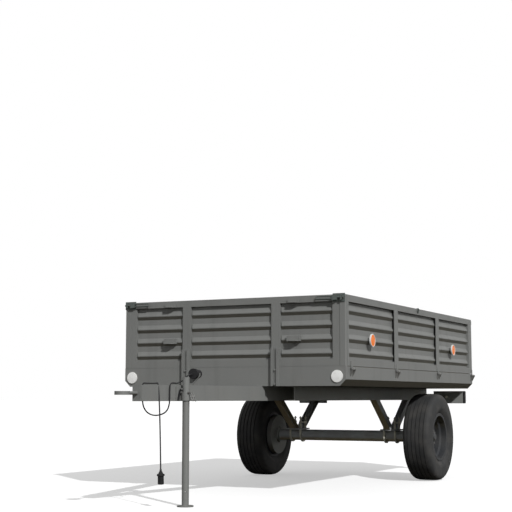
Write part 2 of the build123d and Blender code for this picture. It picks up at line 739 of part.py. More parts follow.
# Axle under the beams on V struts
drum_start = -HUB_FLANGE - DRUM_WIDTH
plate_x = WHEEL_X + drum_start - BACKING_GAP - BACKING_PLATE
axle = along_x(-plate_x, plate_x, AXLE_RADIUS, AXLE_Y, AXLE_Z)
spindle = along_x(plate_x, WHEEL_X + 30, SPINDLE_RADIUS, AXLE_Y, AXLE_Z)
save(axle + spindle + mirrored(spindle), "axle_tube")

saddle_z0 = AXLE_Z + AXLE_RADIUS + PIECE_GAP
saddle_z1 = saddle_z0 + SADDLE_THICKNESS
bolt_xs = (BEAM_CENTRE_X - U_BOLT_OFFSET, BEAM_CENTRE_X + U_BOLT_OFFSET)
bolt_ring = AXLE_RADIUS + PIECE_GAP + U_BOLT_SIZE / 2
saddle = block(
    BEAM_CENTRE_X - SADDLE_WIDTH / 2,
    BEAM_CENTRE_X + SADDLE_WIDTH / 2,
    AXLE_Y - SADDLE_LENGTH / 2,
    AXLE_Y + SADDLE_LENGTH / 2,
    saddle_z0,
    saddle_z1,
)
half_bolt = U_BOLT_SIZE / 2 + PIECE_GAP
for x in bolt_xs:
    for y in (AXLE_Y - bolt_ring, AXLE_Y + bolt_ring):
        saddle = saddle - block(
            x - half_bolt, x + half_bolt, y - half_bolt, y + half_bolt, 0, saddle_z1 + 1
        )
save(both(saddle), "axle_saddles")


def strut(side):
    """One leg of a V hanger, an open channel from the saddle up to a beam."""
    slope = math.atan2(STRUT_SPREAD - STRUT_FOOT_OFFSET, BEAM_FOOT_Z - saddle_z1)
    across = STRUT_SIZE / math.cos(slope) / 2
    wall = STRUT_WALL / math.cos(slope)
    x0 = BEAM_CENTRE_X - STRUT_SIZE / 2
    foot_y = AXLE_Y + side * STRUT_FOOT_OFFSET
    head_y = AXLE_Y + side * STRUT_SPREAD
    outline = [
        (x0, foot_y - across, saddle_z1),
        (x0, foot_y + across, saddle_z1),
        (x0, head_y + across, BEAM_FOOT_Z),
        (x0, head_y - across, BEAM_FOOT_Z),
    ]
    inside = [
        (x0, foot_y - across + wall, saddle_z1),
        (x0, foot_y + across - wall, saddle_z1),
        (x0, head_y + across - wall, BEAM_FOOT_Z),
        (x0, head_y - across + wall, BEAM_FOOT_Z),
    ]
    channel = prism(outline, STRUT_SIZE, (1, 0, 0))
    return channel - prism(inside, STRUT_SIZE - STRUT_WALL, (1, 0, 0))


hangers = [strut(-1), strut(1)]
hangers = hangers + [mirrored(piece) for piece in hangers]
save(Compound(children=hangers), "axle_hangers")

# U-bolts of square bar, each closed by a cap plate above the saddle
bolts = []
half = U_BOLT_SIZE / 2
for x in bolt_xs:
    bow = along_x(x - half, x + half, bolt_ring + half, AXLE_Y, AXLE_Z)
    bow = bow - along_x(x - half - 1, x + half + 1, bolt_ring - half, AXLE_Y, AXLE_Z)
    reach = bolt_ring + half + 1
    bow = bow - block(
        x - half - 1, x + half + 1, AXLE_Y - reach, AXLE_Y + reach, AXLE_Z, AXLE_Z + reach
    )
    leg_top = AXLE_Z + U_BOLT_RISE
    for y in (AXLE_Y - bolt_ring, AXLE_Y + bolt_ring):
        bow = bow + block(x - half, x + half, y - half, y + half, AXLE_Z, leg_top)
    bow = bow + block(
        x - half - 4,
        x + half + 4,
        AXLE_Y - bolt_ring - half - 8,
        AXLE_Y + bolt_ring + half + 8,
        leg_top - 24,
        leg_top - 24 + CAP_PLATE,
    )
    bolts.append(bow)
bolts = bolts + [mirrored(piece) for piece in bolts]
save(Compound(children=bolts), "u_bolts")


def wheel_ring(profile):
    """A ring about the axle line from an outline of (x, radius) points."""
    face = make_face(Polyline(*[(x, 0, r) for x, r in profile], close=True))
    ring = revolve(face, axis=Axis((0, 0, 0), (1, 0, 0)), revolution_arc=360)
    return Pos(WHEEL_X, AXLE_Y, AXLE_Z) * ring


half_tyre = TYRE_WIDTH / 2
half_rim = RIM_WIDTH / 2
bead = half_rim - RIM_WALL - PIECE_GAP
tyre_half = [
    (bead, BEAD_RADIUS + PIECE_GAP),
    (bead, RIM_FLANGE_RADIUS + 4),
    (half_tyre - 12, RIM_FLANGE_RADIUS + 16),
    (half_tyre, TYRE_RADIUS - 116),
    (half_tyre - 5, TYRE_RADIUS - 44),
    (half_tyre - 30, TYRE_RADIUS - 8),
    (half_tyre - 72, TYRE_RADIUS),
]
tyre = wheel_ring([(-x, r) for x, r in tyre_half] + tyre_half[::-1])
save(tyre, "tyre_left")
save(mirrored(tyre), "tyre_right")

lip = half_rim - RIM_WALL
seat_r = BEAD_RADIUS
rim = wheel_ring(
    [
        (half_rim, RIM_FLANGE_RADIUS),
        (lip, RIM_FLANGE_RADIUS),
        (lip, seat_r),
        (60, seat_r - 1),
        (46, WELL_RADIUS),
        (-46, WELL_RADIUS),
        (-60, seat_r - 1),
        (-lip, seat_r),
        (-lip, RIM_FLANGE_RADIUS),
        (-half_rim, RIM_FLANGE_RADIUS),
        (-half_rim, seat_r - RIM_WALL),
        (-64, seat_r - 7),
        (-50, WELL_RADIUS - RIM_WALL),
        (0, WELL_RADIUS - RIM_WALL),
        (0, HUB_RADIUS + PIECE_GAP),
        (DISC_THICKNESS, HUB_RADIUS + PIECE_GAP),
        (DISC_THICKNESS, WELL_RADIUS - RIM_WALL),
        (50, WELL_RADIUS - RIM_WALL),
        (64, seat_r - 7),
        (half_rim, seat_r - RIM_WALL),
    ]
)
save(rim, "rim_left")
save(mirrored(rim), "rim_right")

hub = wheel_ring(
    [
        (-HUB_FLANGE, SPINDLE_BORE_RADIUS),
        (-HUB_FLANGE, HUB_FLANGE_RADIUS),
        (-PIECE_GAP, HUB_FLANGE_RADIUS),
        (-PIECE_GAP, HUB_RADIUS),
        (HUB_REACH - 8, HUB_RADIUS),
        (HUB_REACH, HUB_RADIUS - 12),
        (HUB_REACH, CAP_RADIUS),
        (CAP_REACH - 6, CAP_RADIUS - 2),
        (CAP_REACH, CAP_RADIUS - 10),
        (CAP_REACH, 0),
        (40, 0),
        (40, SPINDLE_BORE_RADIUS),
    ]
)
save(hub, "hub_left")
save(mirrored(hub), "hub_right")

drum_face = -HUB_FLANGE - PIECE_GAP
drum = wheel_ring(
    [
        (drum_start, DRUM_RADIUS),
        (drum_face, DRUM_RADIUS),
        (drum_face, HUB_RADIUS),
        (drum_face - DRUM_WALL, HUB_RADIUS),
        (drum_face - DRUM_WALL, DRUM_RADIUS - DRUM_WALL),
        (drum_start, DRUM_RADIUS - DRUM_WALL),
    ]
)
save(drum, "brake_drum_left")
save(mirrored(drum), "brake_drum_right")

backing = along_x(plate_x, plate_x + BACKING_LIP, BACKING_RADIUS, AXLE_Y, AXLE_Z)
backing = backing - along_x(
    plate_x + BACKING_PLATE,
    plate_x + BACKING_LIP + 1,
    BACKING_RADIUS - BACKING_PLATE,
    AXLE_Y,
    AXLE_Z,
)
backing = backing - along_x(
    plate_x - 1, plate_x + BACKING_PLATE + 1, SPINDLE_RADIUS + PIECE_GAP, AXLE_Y, AXLE_Z
)
collar = along_x(plate_x - 26, plate_x, 82, AXLE_Y, AXLE_Z)
collar = collar - along_x(
    plate_x - 27, plate_x, AXLE_RADIUS + PIECE_GAP, AXLE_Y, AXLE_Z
)
save(both(backing + collar), "backing_plates")

# Tail: a square tube across the beams' ends carries a lamp on each side
tube_z0 = LAMP_FOOT_Z + (LAMP_HEIGHT - TAIL_TUBE) / 2
tail_tube = block(
    -LAMP_INNER_X - 60,
    LAMP_INNER_X + 60,
    BEAM_END_Y,
    BEAM_END_Y + TAIL_TUBE,
    tube_z0,
    tube_z0 + TAIL_TUBE,
)
lamp_plate = block(
    LAMP_INNER_X,
    LAMP_OUTER_X - 20,
    BEAM_END_Y - LAMP_PLATE,
    BEAM_END_Y,
    LAMP_FOOT_Z,
    LAMP_FOOT_Z + LAMP_HEIGHT,
)
save(tail_tube + lamp_plate + mirrored(lamp_plate), "lamp_carrier")

lamp = block(
    LAMP_INNER_X + 60 + PIECE_GAP,
    LAMP_OUTER_X,
    BEAM_END_Y + PIECE_GAP,
    REAR_Y,
    LAMP_FOOT_Z,
    LAMP_FOOT_Z + LAMP_HEIGHT,
)
lamp = fillet(lamp.edges().filter_by(Axis.Y), 10)
save(both(lamp), "rear_lamps")

# Reflectors
white = along_y(
    FRONT_Y - WHITE_REFLECTOR_DEPTH,
    FRONT_Y,
    REFLECTOR_RADIUS,
    WHITE_REFLECTOR_X,
    WHITE_REFLECTOR_Z,
)
save(both(white), "front_reflectors")

side_solid = SIDE_PLACE * board_sheet(side_spans, hollow=False)
ambers = []
for behind in AMBER_REFLECTORS:
    y = FRONT_Y + behind
    z = BODY_TOP_Z - AMBER_REFLECTOR_DROP
    disc_x = HALF_WIDTH + AMBER_PROUD
    disc = along_x(disc_x, disc_x + AMBER_DEPTH, REFLECTOR_RADIUS, y, z)
    stem = along_x(HALF_WIDTH - RIB_DEPTH, disc_x, STEM_RADIUS, y, z) - side_solid
    stem = stem.solids().sort_by(Axis.X)[-1]
    ambers.append(disc + stem)
amber = Compound(children=ambers)
save(amber, "side_reflectors_left")
save(mirrored(amber), "side_reflectors_right")

# Lighting socket on a three-cornered bracket that stands on the left arm
SOCKET_AHEAD = 905.0
SOCKET_X = 157.0
SOCKET_Z = 991.0
SOCKET_RADIUS = 40.0
SOCKET_LENGTH = 85.0
BRACKET_PLATE = 6.0
socket_y = FRONT_Y - SOCKET_AHEAD
bracket_y = socket_y + 30
bracket_outline = [
    (104, bracket_y, BEAM_TOP_Z),
    (132, bracket_y, BEAM_TOP_Z),
    (SOCKET_X + 46, bracket_y, SOCKET_Z - 20),
    (SOCKET_X + 46, bracket_y, SOCKET_Z + 6),
    (SOCKET_X - 44, bracket_y, SOCKET_Z + 6),
]
bracket = prism(bracket_outline, BRACKET_PLATE, (0, 1, 0))
bracket = bracket - along_y(
    bracket_y - 1, bracket_y + 9, SOCKET_RADIUS - 7 + PIECE_GAP, SOCKET_X, SOCKET_Z
)
save(bracket, "socket_bracket")
socket_face = (SOCKET_X, SOCKET_Z)
socket = along_y(socket_y, bracket_y - PIECE_GAP, SOCKET_RADIUS, *socket_face)
socket = socket + along_y(
    bracket_y - PIECE_GAP, socket_y + SOCKET_LENGTH, SOCKET_RADIUS - 7, *socket_face
)
gland_end = (SOCKET_X - 10, FRONT_Y - 928, SOCKET_Z - 8)
gland_start = (SOCKET_X - 10, socket_y, SOCKET_Z - 8)
socket = socket + rod(gland_start, gland_end, 9)
save(socket, "lighting_socket")

# Cable from the socket over the left arm, once around the drawbar and down to
# the plug. Points are (x, distance ahead of the body, z).
CABLE_RADIUS = 4.5
CABLE_EASE = 0.45
PLUG_TOP_Z = 282.0
cable_table = (
    (SOCKET_X - 10, 928, SOCKET_Z - 8),
    (SOCKET_X - 10, 952, SOCKET_Z - 8),
    (132, 978, 956),
    (113, 1004, 929),
    (103, 1046, 916),
    (100, 1098, 919),
    (103, 1153, 916),
    (103, 1157, 838),
    (102, 1155, 760),
    (80, 1164, 700),
    (20, 1193, 674),
    (-36, 1222, 685),
    (-73, 1243, 732),
    (-82, 1248, 810),
    (-82, 1252, 919),
    (-42, 1254, 916),
    (39, 1258, 915),
    (79, 1262, 919),
    (79, 1236, PLUG_TOP_Z),
)
cable_points = [(x, FRONT_Y - ahead, z) for x, ahead, z in cable_table]


def bend_radii(points):
    """Radius at each inner point: a share of its shorter run over its turn."""
    radii = []
    for before, here, after in zip(points, points[1:], points[2:]):
        run_in = Vector(*here) - Vector(*before)
        run_out = Vector(*after) - Vector(*here)
        turn = math.radians(run_in.get_angle(run_out))
        shorter = min(run_in.length, run_out.length)
        radii.append(CABLE_EASE * shorter / math.tan(turn / 2))
    return radii


radii = bend_radii(cable_points)
print("cable radii mm", [round(radius) for radius in radii])
cable_way = FilletPolyline(*cable_points, radius=radii)
cable_start = Plane(origin=cable_way @ 0, z_dir=cable_way % 0)
cable = sweep(cable_start * Circle(CABLE_RADIUS), path=cable_way)
print("cable length mm", round(cable_way.length))
cable_section = math.pi * CABLE_RADIUS**2
print("cable volume share", round(cable.volume / cable_way.length / cable_section, 4))
save(cable, "lighting_cable")

plug_profile = [
    (0, 0),
    (9, 0),
    (14, -34),
    (29, -42),
    (29, -54),
    (23, -58),
    (23, -107),
    (0, -107),
]
plug_face = make_face(Polyline(*[(r, 0, z) for r, z in plug_profile], close=True))
plug = revolve(plug_face, axis=Axis.Z, revolution_arc=360)
plug_place = Plane(origin=cable_way @ 1, z_dir=-(cable_way % 1))
save(plug_place * plug, "cable_plug")
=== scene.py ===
"""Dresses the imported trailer: paint, tread, lenses, nuts and cable, light and camera."""

import logging
import math
from dataclasses import dataclass, field
from enum import Enum
from typing import Any, Iterable, Sequence

import bmesh
import bpy
import numpy as np
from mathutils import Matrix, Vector


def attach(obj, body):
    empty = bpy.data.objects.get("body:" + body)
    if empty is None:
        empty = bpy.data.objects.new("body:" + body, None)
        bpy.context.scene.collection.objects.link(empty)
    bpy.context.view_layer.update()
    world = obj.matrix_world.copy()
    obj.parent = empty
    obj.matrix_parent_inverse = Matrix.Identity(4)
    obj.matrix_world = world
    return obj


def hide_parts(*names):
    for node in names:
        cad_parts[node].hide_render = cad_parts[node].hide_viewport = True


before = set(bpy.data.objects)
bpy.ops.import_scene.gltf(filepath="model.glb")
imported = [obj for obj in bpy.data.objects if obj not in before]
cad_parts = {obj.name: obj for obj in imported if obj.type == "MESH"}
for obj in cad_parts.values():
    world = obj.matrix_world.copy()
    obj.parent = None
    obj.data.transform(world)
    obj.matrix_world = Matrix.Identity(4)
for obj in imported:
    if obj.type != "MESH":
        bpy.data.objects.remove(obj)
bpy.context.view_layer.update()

LOG = logging.getLogger("trailer")
Colour = tuple[float, float, float]
Point = tuple[float, float, float]

FRONT_Y = -0.951
REAR_Y = 2.623
AXLE_Y = 1.544
AXLE_Z = 0.4225
WHEEL_X = 0.907
SIDES = (1.0, -1.0)
SIDE_NAMES = {1.0: "left", -1.0: "right"}
NUT_SIDES = 6
NUT_SHARP = 25.0
BOX_STEPS = 24
MERGE_GAP = 1e-6
SHORTEST_EDGE = 1e-7
# Runs along no rod or plug, so a direction across them can be worked out from it.
SLANT = (0.31, 0.9, 0.27)


class Axis(Enum):
    """The direction that a turned or laid piece looks along."""

    X = (1.0, 0.0, 0.0)
    Y = (0.0, 1.0, 0.0)
    Z = (0.0, 0.0, 1.0)

    def frame(self) -> tuple[np.ndarray, np.ndarray, np.ndarray]:
        """The axis and two unit vectors across it."""
        along = np.array(self.value)
        across = np.array((0.0, 0.0, 1.0) if self is not Axis.Z else (1.0, 0.0, 0.0))
        return along, across, np.cross(along, across)


class Value:
    """A shader socket on which Python's operators add Math nodes."""

    def __init__(self, graph: "Graph", socket: bpy.types.NodeSocket) -> None:
        """Keeps the socket and the graph that it belongs to."""
        self.graph = graph
        self.socket = socket

    def maths(self, operation: str, first: Any, second: Any) -> "Value":
        """A Math node on two values, clear of any clamping."""
        sockets = {0: first, 1: second}
        return self.graph.node("ShaderNodeMath", {"operation": operation}, sockets)

    def __add__(self, other: Any) -> "Value":
        """Sum."""
        return self.maths("ADD", self, other)

    __radd__ = __add__

    def __sub__(self, other: Any) -> "Value":
        """Difference."""
        return self.maths("SUBTRACT", self, other)

    def __rsub__(self, other: Any) -> "Value":
        """Difference from a number."""
        return self.maths("SUBTRACT", other, self)

    def __mul__(self, other: Any) -> "Value":
        """Product."""
        return self.maths("MULTIPLY", self, other)

    __rmul__ = __mul__

    def step(self, low: float, high: float) -> "Value":
        """0 below low, 1 above high, smooth between."""
        settings = {"interpolation_type": "SMOOTHSTEP"}
        sockets = {"Value": self, "From Min": low, "From Max": high}
        return self.graph.node("ShaderNodeMapRange", settings, sockets)


class Graph:
    """The node tree of one material or world."""

    def __init__(self, tree: bpy.types.NodeTree) -> None:
        """Starts from an empty tree."""
        self.tree = tree
        tree.nodes.clear()

    def node(
        self, kind: str, settings: dict[str, Any], sockets: dict[Any, Any], out: Any = 0
    ) -> Value:
        """Adds one node.

        Args:
            kind: the node's type.
            settings: its properties, set first.
            sockets: a value or a link for each input that is named or numbered.
            out: the output that is handed back.

        Returns:
            The output, wrapped.
        """
        made = self.tree.nodes.new(kind)
        for name, value in settings.items():
            setattr(made, name, value)
        for name, value in sockets.items():
            if isinstance(value, Value):
                self.tree.links.new(value.socket, made.inputs[name])
            else:
                made.inputs[name].default_value = value
        output = made.outputs[out] if made.outputs else None
        return Value(self, output)

    def place(self, scale: Point = (1.0, 1.0, 1.0)) -> Value:
        """Object coordinates in metres, stretched per axis."""
        coordinates = self.node("ShaderNodeTexCoord", {}, {}, "Object")
        sockets = {"Vector": coordinates, "Scale": scale}
        return self.node("ShaderNodeMapping", {}, sockets)

    def noise(self, scale: float, detail: float, stretch: Point = (1, 1, 1)) -> Value:
        """Cloudy pattern between 0 and 1, its scale in cycles a metre."""
        sockets = {"Vector": self.place(stretch), "Scale": scale, "Detail": detail}
        return self.node("ShaderNodeTexNoise", {}, sockets, "Fac")

    def height(self) -> Value:
        """Height above the ground in metres."""
        coordinates = self.node("ShaderNodeTexCoord", {}, {}, "Object")
        return self.node("ShaderNodeSeparateXYZ", {}, {0: coordinates}, "Z")

    def facing_up(self) -> Value:
        """How far the surface faces up: 1 on top, 0 upright, -1 underneath."""
        normal = self.node("ShaderNodeTexCoord", {}, {}, "Normal")
        return self.node("ShaderNodeSeparateXYZ", {}, {0: normal}, "Z")

    def mix(self, factor: Any, first: Any, second: Any) -> Value:
        """A colour between two colours."""
        sockets = {0: factor, 6: self.rgba(first), 7: self.rgba(second)}
        return self.node("ShaderNodeMix", {"data_type": "RGBA"}, sockets, 2)

    def tint(self, colour: Any, amount: Value) -> Value:
        """A colour made darker or paler by a grey amount around 1."""
        grey = self.node("ShaderNodeCombineColor", {}, {0: amount, 1: amount, 2: amount})
        settings = {"data_type": "RGBA", "blend_type": "MULTIPLY"}
        sockets = {0: 1.0, 6: self.rgba(colour), 7: grey}
        return self.node("ShaderNodeMix", settings, sockets, 2)

    @staticmethod
    def rgba(colour: Any) -> Any:
        """A colour with its alpha, or a link as it is."""
        return colour if isinstance(colour, Value) else (*colour, 1.0)

    def bump(self, height: Value, depth: float) -> Value:
        """A normal from a height pattern of that depth in metres."""
        sockets = {"Height": height, "Distance": depth, "Strength": 1.0}
        return self.node("ShaderNodeBump", {}, sockets)

    def surface(self, sockets: dict[str, Any]) -> None:
        """Ends the tree in one principled shader."""
        shader = self.node("ShaderNodeBsdfPrincipled", {}, sockets)
        self.node("ShaderNodeOutputMaterial", {}, {"Surface": shader})


def blank_material(name: str) -> tuple[bpy.types.Material, Graph]:
    """A new material and its empty node tree."""
    material = bpy.data.materials.new(name)
    material.use_nodes = True
    return material, Graph(material.node_tree)


@dataclass(frozen=True)
class Paint:
    """Brushed-on machinery paint with weather, dust and rust."""

    name: str
    colour: Colour
    roughness: float = 0.5
    streaks: float = 0.1
    dust: float = 0.2
    rust: float = 0.0
    dust_colour: Colour = (0.24, 0.22, 0.19)
    rust_colour: Colour = (0.10, 0.045, 0.022)
    # Painted shade on faces that look down: how strong it is and the colour it draws
    # toward.
    underside_shade: float = 0.75
    underside_shade_colour: Colour = (0.095, 0.083, 0.052)

    def material(self) -> bpy.types.Material:
        """Cloudy shade, rain streaks, dust low down, rust specks and painted shade on faces
        that look down.

        Returns:
            The material.
        """
        material, graph = blank_material(self.name)
        clouds = graph.noise(1.7, 4.0)
        grain = graph.noise(45.0, 5.0)
        run = graph.noise(9.0, 3.0, (1.0, 1.0, 0.07))
        shade = 0.9 + 0.12 * clouds + 0.08 * grain
        shade = shade - self.streaks * run.step(0.5, 0.75)
        colour = graph.tint(self.colour, shade)
        low = 1.0 - graph.height().step(0.35, 1.3)
        settled = graph.noise(6.0, 6.0).step(0.35, 0.7)
        dusty = self.dust * settled * (0.35 + 0.65 * low)
        colour = graph.mix(dusty, colour, self.dust_colour)
        specks = graph.noise(38.0, 7.0).step(0.66, 0.72) * graph.noise(2.3, 2.0)
        rusty = self.rust * specks
        colour = graph.mix(rusty, colour, self.rust_colour)
        # Painted shade: faces that look down are drawn toward a dark brownish colour,
        # standing in for the shade under rails, ribs and the chassis.
        below = (0.0 - graph.facing_up()).step(0.25, 0.8)
        colour = graph.mix(self.underside_shade * below, colour, self.underside_shade_colour)
        peel = graph.noise(260.0, 2.0)
        sockets = {
            "Base Color": colour,
            "Roughness": self.roughness + 0.16 * grain + 0.2 * dusty + 0.3 * rusty,
            "Normal": graph.bump(peel + 6.0 * rusty, 0.00012),
            "Specular IOR Level": 0.35,
        }
        graph.surface(sockets)
        return material


@dataclass(frozen=True)
class Steel:
    """Dull plated or bare steel."""

    name: str
    colour: Colour
    metallic: float = 0.7
    roughness: float = 0.42
    rust: float = 0.3
    rust_colour: Colour = (0.11, 0.05, 0.025)

    def material(self) -> bpy.types.Material:
        """Fine scratches over blotches, with rust where it has stood wet.

        Returns:
            The material.
        """
        material, graph = blank_material(self.name)
        blotches = graph.noise(22.0, 5.0)
        scratches = graph.noise(120.0, 3.0, (1.0, 1.0, 0.1))
        colour = graph.tint(self.colour, 0.8 + 0.3 * blotches + 0.1 * scratches)
        rusty = self.rust * graph.noise(30.0, 6.0).step(0.5, 0.7)
        sockets = {
            "Base Color": graph.mix(rusty, colour, self.rust_colour),
            "Metallic": self.metallic - self.metallic * rusty,
            "Roughness": self.roughness + 0.2 * blotches + 0.3 * rusty,
            "Normal": graph.bump(scratches + blotches, 0.00015),
        }
        graph.surface(sockets)
        return material


@dataclass(frozen=True)
class Rubber:
    """Tyre or cable rubber with dust on it."""

    name: str
    colour: Colour
    roughness: float = 0.62
    dust: float = 0.25
    dust_colour: Colour = (0.13, 0.12, 0.105)

    def material(self) -> bpy.types.Material:
        """Matt black with a fine grain and blotches of dry dust.

        Returns:
            The material.
        """
        material, graph = blank_material(self.name)
        clouds = graph.noise(7.0, 5.0)
        grain = graph.noise(320.0, 3.0)
        dusty = self.dust * clouds.step(0.38, 0.72)
        colour = graph.tint(self.colour, 0.8 + 0.3 * clouds + 0.2 * grain)
        sockets = {
            "Base Color": graph.mix(dusty, colour, self.dust_colour),
            "Roughness": self.roughness + 0.15 * clouds + 0.1 * grain,
            "Normal": graph.bump(grain + 0.5 * clouds, 0.00025),
            "Specular IOR Level": 0.4,
        }
        graph.surface(sockets)
        return material


@dataclass(frozen=True)
class Plastic:
    """Moulded plastic with a fine grain."""

    name: str
    colour: Colour
    roughness: float = 0.5

    def material(self) -> bpy.types.Material:
        """An even colour, a little weathered, over a moulded grain.

        Returns:
            The material.
        """
        material, graph = blank_material(self.name)
        clouds = graph.noise(14.0, 4.0)
        grain = graph.noise(700.0, 2.0)
        sockets = {
            "Base Color": graph.tint(self.colour, 0.85 + 0.25 * clouds),
            "Roughness": self.roughness + 0.2 * clouds,
            "Normal": graph.bump(grain, 0.0001),
            "Specular IOR Level": 0.3,
        }
        graph.surface(sockets)
        return material


@dataclass(frozen=True)
class Lens:
    """A reflector or lamp lens with prisms moulded behind it."""

    name: str
    colour: Colour
    cell: float = 0.0045
    coat: float = 0.8
    shine: float = 0.5

    def material(self) -> bpy.types.Material:
        """Crossed bands a cell apart make small pyramids under a clear coat.

        Returns:
            The material.
        """
        material, graph = blank_material(self.name)
        scale = math.pi / self.cell / 10.0
        bands = []
        for direction in ("X", "Y", "Z"):
            settings = {"bands_direction": direction, "wave_profile": "TRI"}
            sockets = {"Vector": graph.place(), "Scale": scale / 2.0}
            bands.append(graph.node("ShaderNodeTexWave", settings, sockets, "Fac"))
        prisms = bands[0] + bands[1] + bands[2]
        clouds = graph.noise(30.0, 3.0)
        sockets = {
            "Base Color": graph.tint(self.colour, 0.72 + 0.14 * prisms + 0.1 * clouds),
            "Roughness": 0.22 + 0.12 * clouds,
            "Normal": graph.bump(prisms, 0.0006),
            "Coat Weight": self.coat,
            "Specular IOR Level": self.shine,
            "Coat Roughness": 0.08,
        }
        graph.surface(sockets)
        return material


class Finish(Enum):
    """The finishes of this trailer, by what they cover."""

    BODY = Paint("body_paint_weathered", (0.172, 0.176, 0.170), 0.5, 0.1, 0.12, 0.12)
    # Partly painted light: real dust, and a base colour set lighter than the body paint so
    # that beams and other parts in the shade under the body come out as if filled with
    # light.
    CHASSIS = Paint("chassis_paint_dusty_and_fill_lit", (0.235, 0.245, 0.235), 0.55, 0.06, 0.3, 0.35)
    SEAM = Paint("seam_paint_rusty", (0.15, 0.14, 0.115), 0.6, 0.05, 0.4, 1.0)
    # Painted light: the base colour is set light so that the axle and its hangers in the
    # shade come out bright, and faces that look down are drawn toward a golden brown that
    # stands in for warm light bounced off the ground. The dust on it is real.
    AXLE = Paint(
        "axle_paint_dusty_and_fill_lit", (0.36, 0.38, 0.39), 0.55, 0.06, 0.3, 0.4,
        underside_shade_colour=(0.34, 0.26, 0.11),
    )
    LATCH = Steel("latch_steel_dull", (0.095, 0.112, 0.104), 0.35, 0.5, 0.2)
    HINGE = Paint("hinge_paint_worn", (0.115, 0.117, 0.112), 0.5, 0.05, 0.3, 0.6)
    FLOOR = Paint("floor_paint_scuffed", (0.165, 0.168, 0.160), 0.6, 0.05, 0.6, 0.5)
    RIM = Paint("rim_paint_dusty", (0.027, 0.029, 0.032), 0.5, 0.0, 0.09, 0.25)
    DRUM = Paint("drum_paint_dusty", (0.045, 0.047, 0.050), 0.55, 0.0, 0.2, 0.5)
    PLATED = Steel("plated_steel_dull", (0.17, 0.17, 0.165), 0.5)
    # Partly painted light: a lighter, less metallic copy of the steel, kept for the U-bolts
    # and their nuts and bolts in shade so that they come out bright, while lit steel parts
    # take the plated finish.
    BARE = Steel("bare_steel_worn_and_fill_lit", (0.62, 0.61, 0.52), 0.25, 0.5, 0.25)
    TYRE = Rubber("tyre_rubber_dry", (0.023, 0.0235, 0.024), 0.66, 0.2)
    CABLE = Rubber("cable_sheath", (0.012, 0.012, 0.013), 0.6, 0.05)
    BLACK = Plastic("black_plastic_moulded", (0.013, 0.013, 0.014), 0.62)
    PALE = Plastic("white_plastic_moulded", (0.72, 0.72, 0.70), 0.4)
    WHITE_LENS = Lens("white_lens_prismatic", (0.90, 0.90, 0.885))
    AMBER_LENS = Lens("amber_lens_prismatic", (0.95, 0.20, 0.005), 0.0045, 0.04, 0.15)
    RED_LENS = Lens("red_lens_prismatic", (0.42, 0.012, 0.01))

    def made(self) -> bpy.types.Material:
        """The finish's one material, made when it is first asked for."""
        found = bpy.data.materials.get(self.value.name)
        return found or self.value.material()


def turned(
    profile: Sequence[tuple[float, float]],
    centre: Point,
    axis: Axis,
    sides: int = 32,
    facing: float = 1.0,
) -> np.ndarray:
    """A profile turned about an axis.

    Each point is the centre plus its distance along the axis, plus its radius
    times (cos t across + sin t over), t going once round.

    Args:
        profile: (distance along, radius) pairs, in metres.
        centre: where the distance along is 0.
        axis: the axis turned about.
        sides: steps round.
        facing: -1 looks the other way along the axis.

    Returns:
        rows x sides x 3 points.
    """
    along, across, over = axis.frame()
    pairs = np.array(profile)
    angle = np.linspace(0.0, 2.0 * math.pi, sides, endpoint=False)
    ring = np.cos(angle)[:, None] * across + np.sin(angle)[:, None] * over
    spokes = pairs[:, 1, None, None] * ring[None]
    steps = pairs[:, 0, None, None] * (facing * along)[None, None]
    return np.array(centre) + steps + spokes


def lathe(
    profile: Sequence[tuple[float, float]], foot: Point, head: Point, sides: int = 12
) -> np.ndarray:
    """A profile turned about the line from foot to head.

    Each point is the foot plus its distance along the line, plus its radius
    times (cos t across + sin t over), t going once round.

    Args:
        profile: (distance from the foot, radius) pairs, in metres.
        foot: where the distance is 0.
        head: a point that the line goes through.
        sides: steps round.

    Returns:
        rows x sides x 3 points.
    """
    pairs = np.array(profile)
    along = np.array(head) - np.array(foot)
    along = along / np.linalg.norm(along)
    across = np.cross(along, SLANT)
    across = across / np.linalg.norm(across)
    over = np.cross(along, across)
    angle = np.linspace(0.0, 2.0 * math.pi, sides, endpoint=False)
    ring = np.cos(angle)[:, None] * across + np.sin(angle)[:, None] * over
    steps = pairs[:, 0, None, None] * along[None, None]
    return np.array(foot) + steps + pairs[:, 1, None, None] * ring[None]


def capped(
    radius: float, height: float, bevel: float, share: float, start: float = 0.0
) -> list[tuple[float, float]]:
    """The profile of a nut, a pin or a stud whose end draws in to a share of its radius.

    Args:
        radius: the full radius.
        height: where the far face lies.
        bevel: the length over which the end draws in.
        share: the far face's radius as a share of the full one.
        start: where the near face lies.

    Returns:
        (distance along, radius) pairs.
    """
    return [
        (start, 0.0),
        (start, radius),
        (height - bevel, radius),
        (height, radius * share),
        (height, 0.0),
    ]


def rod(foot: Point, head: Point, radius: float) -> np.ndarray:
    """A round rod between two points."""
    length = float(np.linalg.norm(np.array(head) - np.array(foot)))
    return lathe([(0.0, 0.0), (0.0, radius), (length, radius), (length, 0.0)], foot, head)


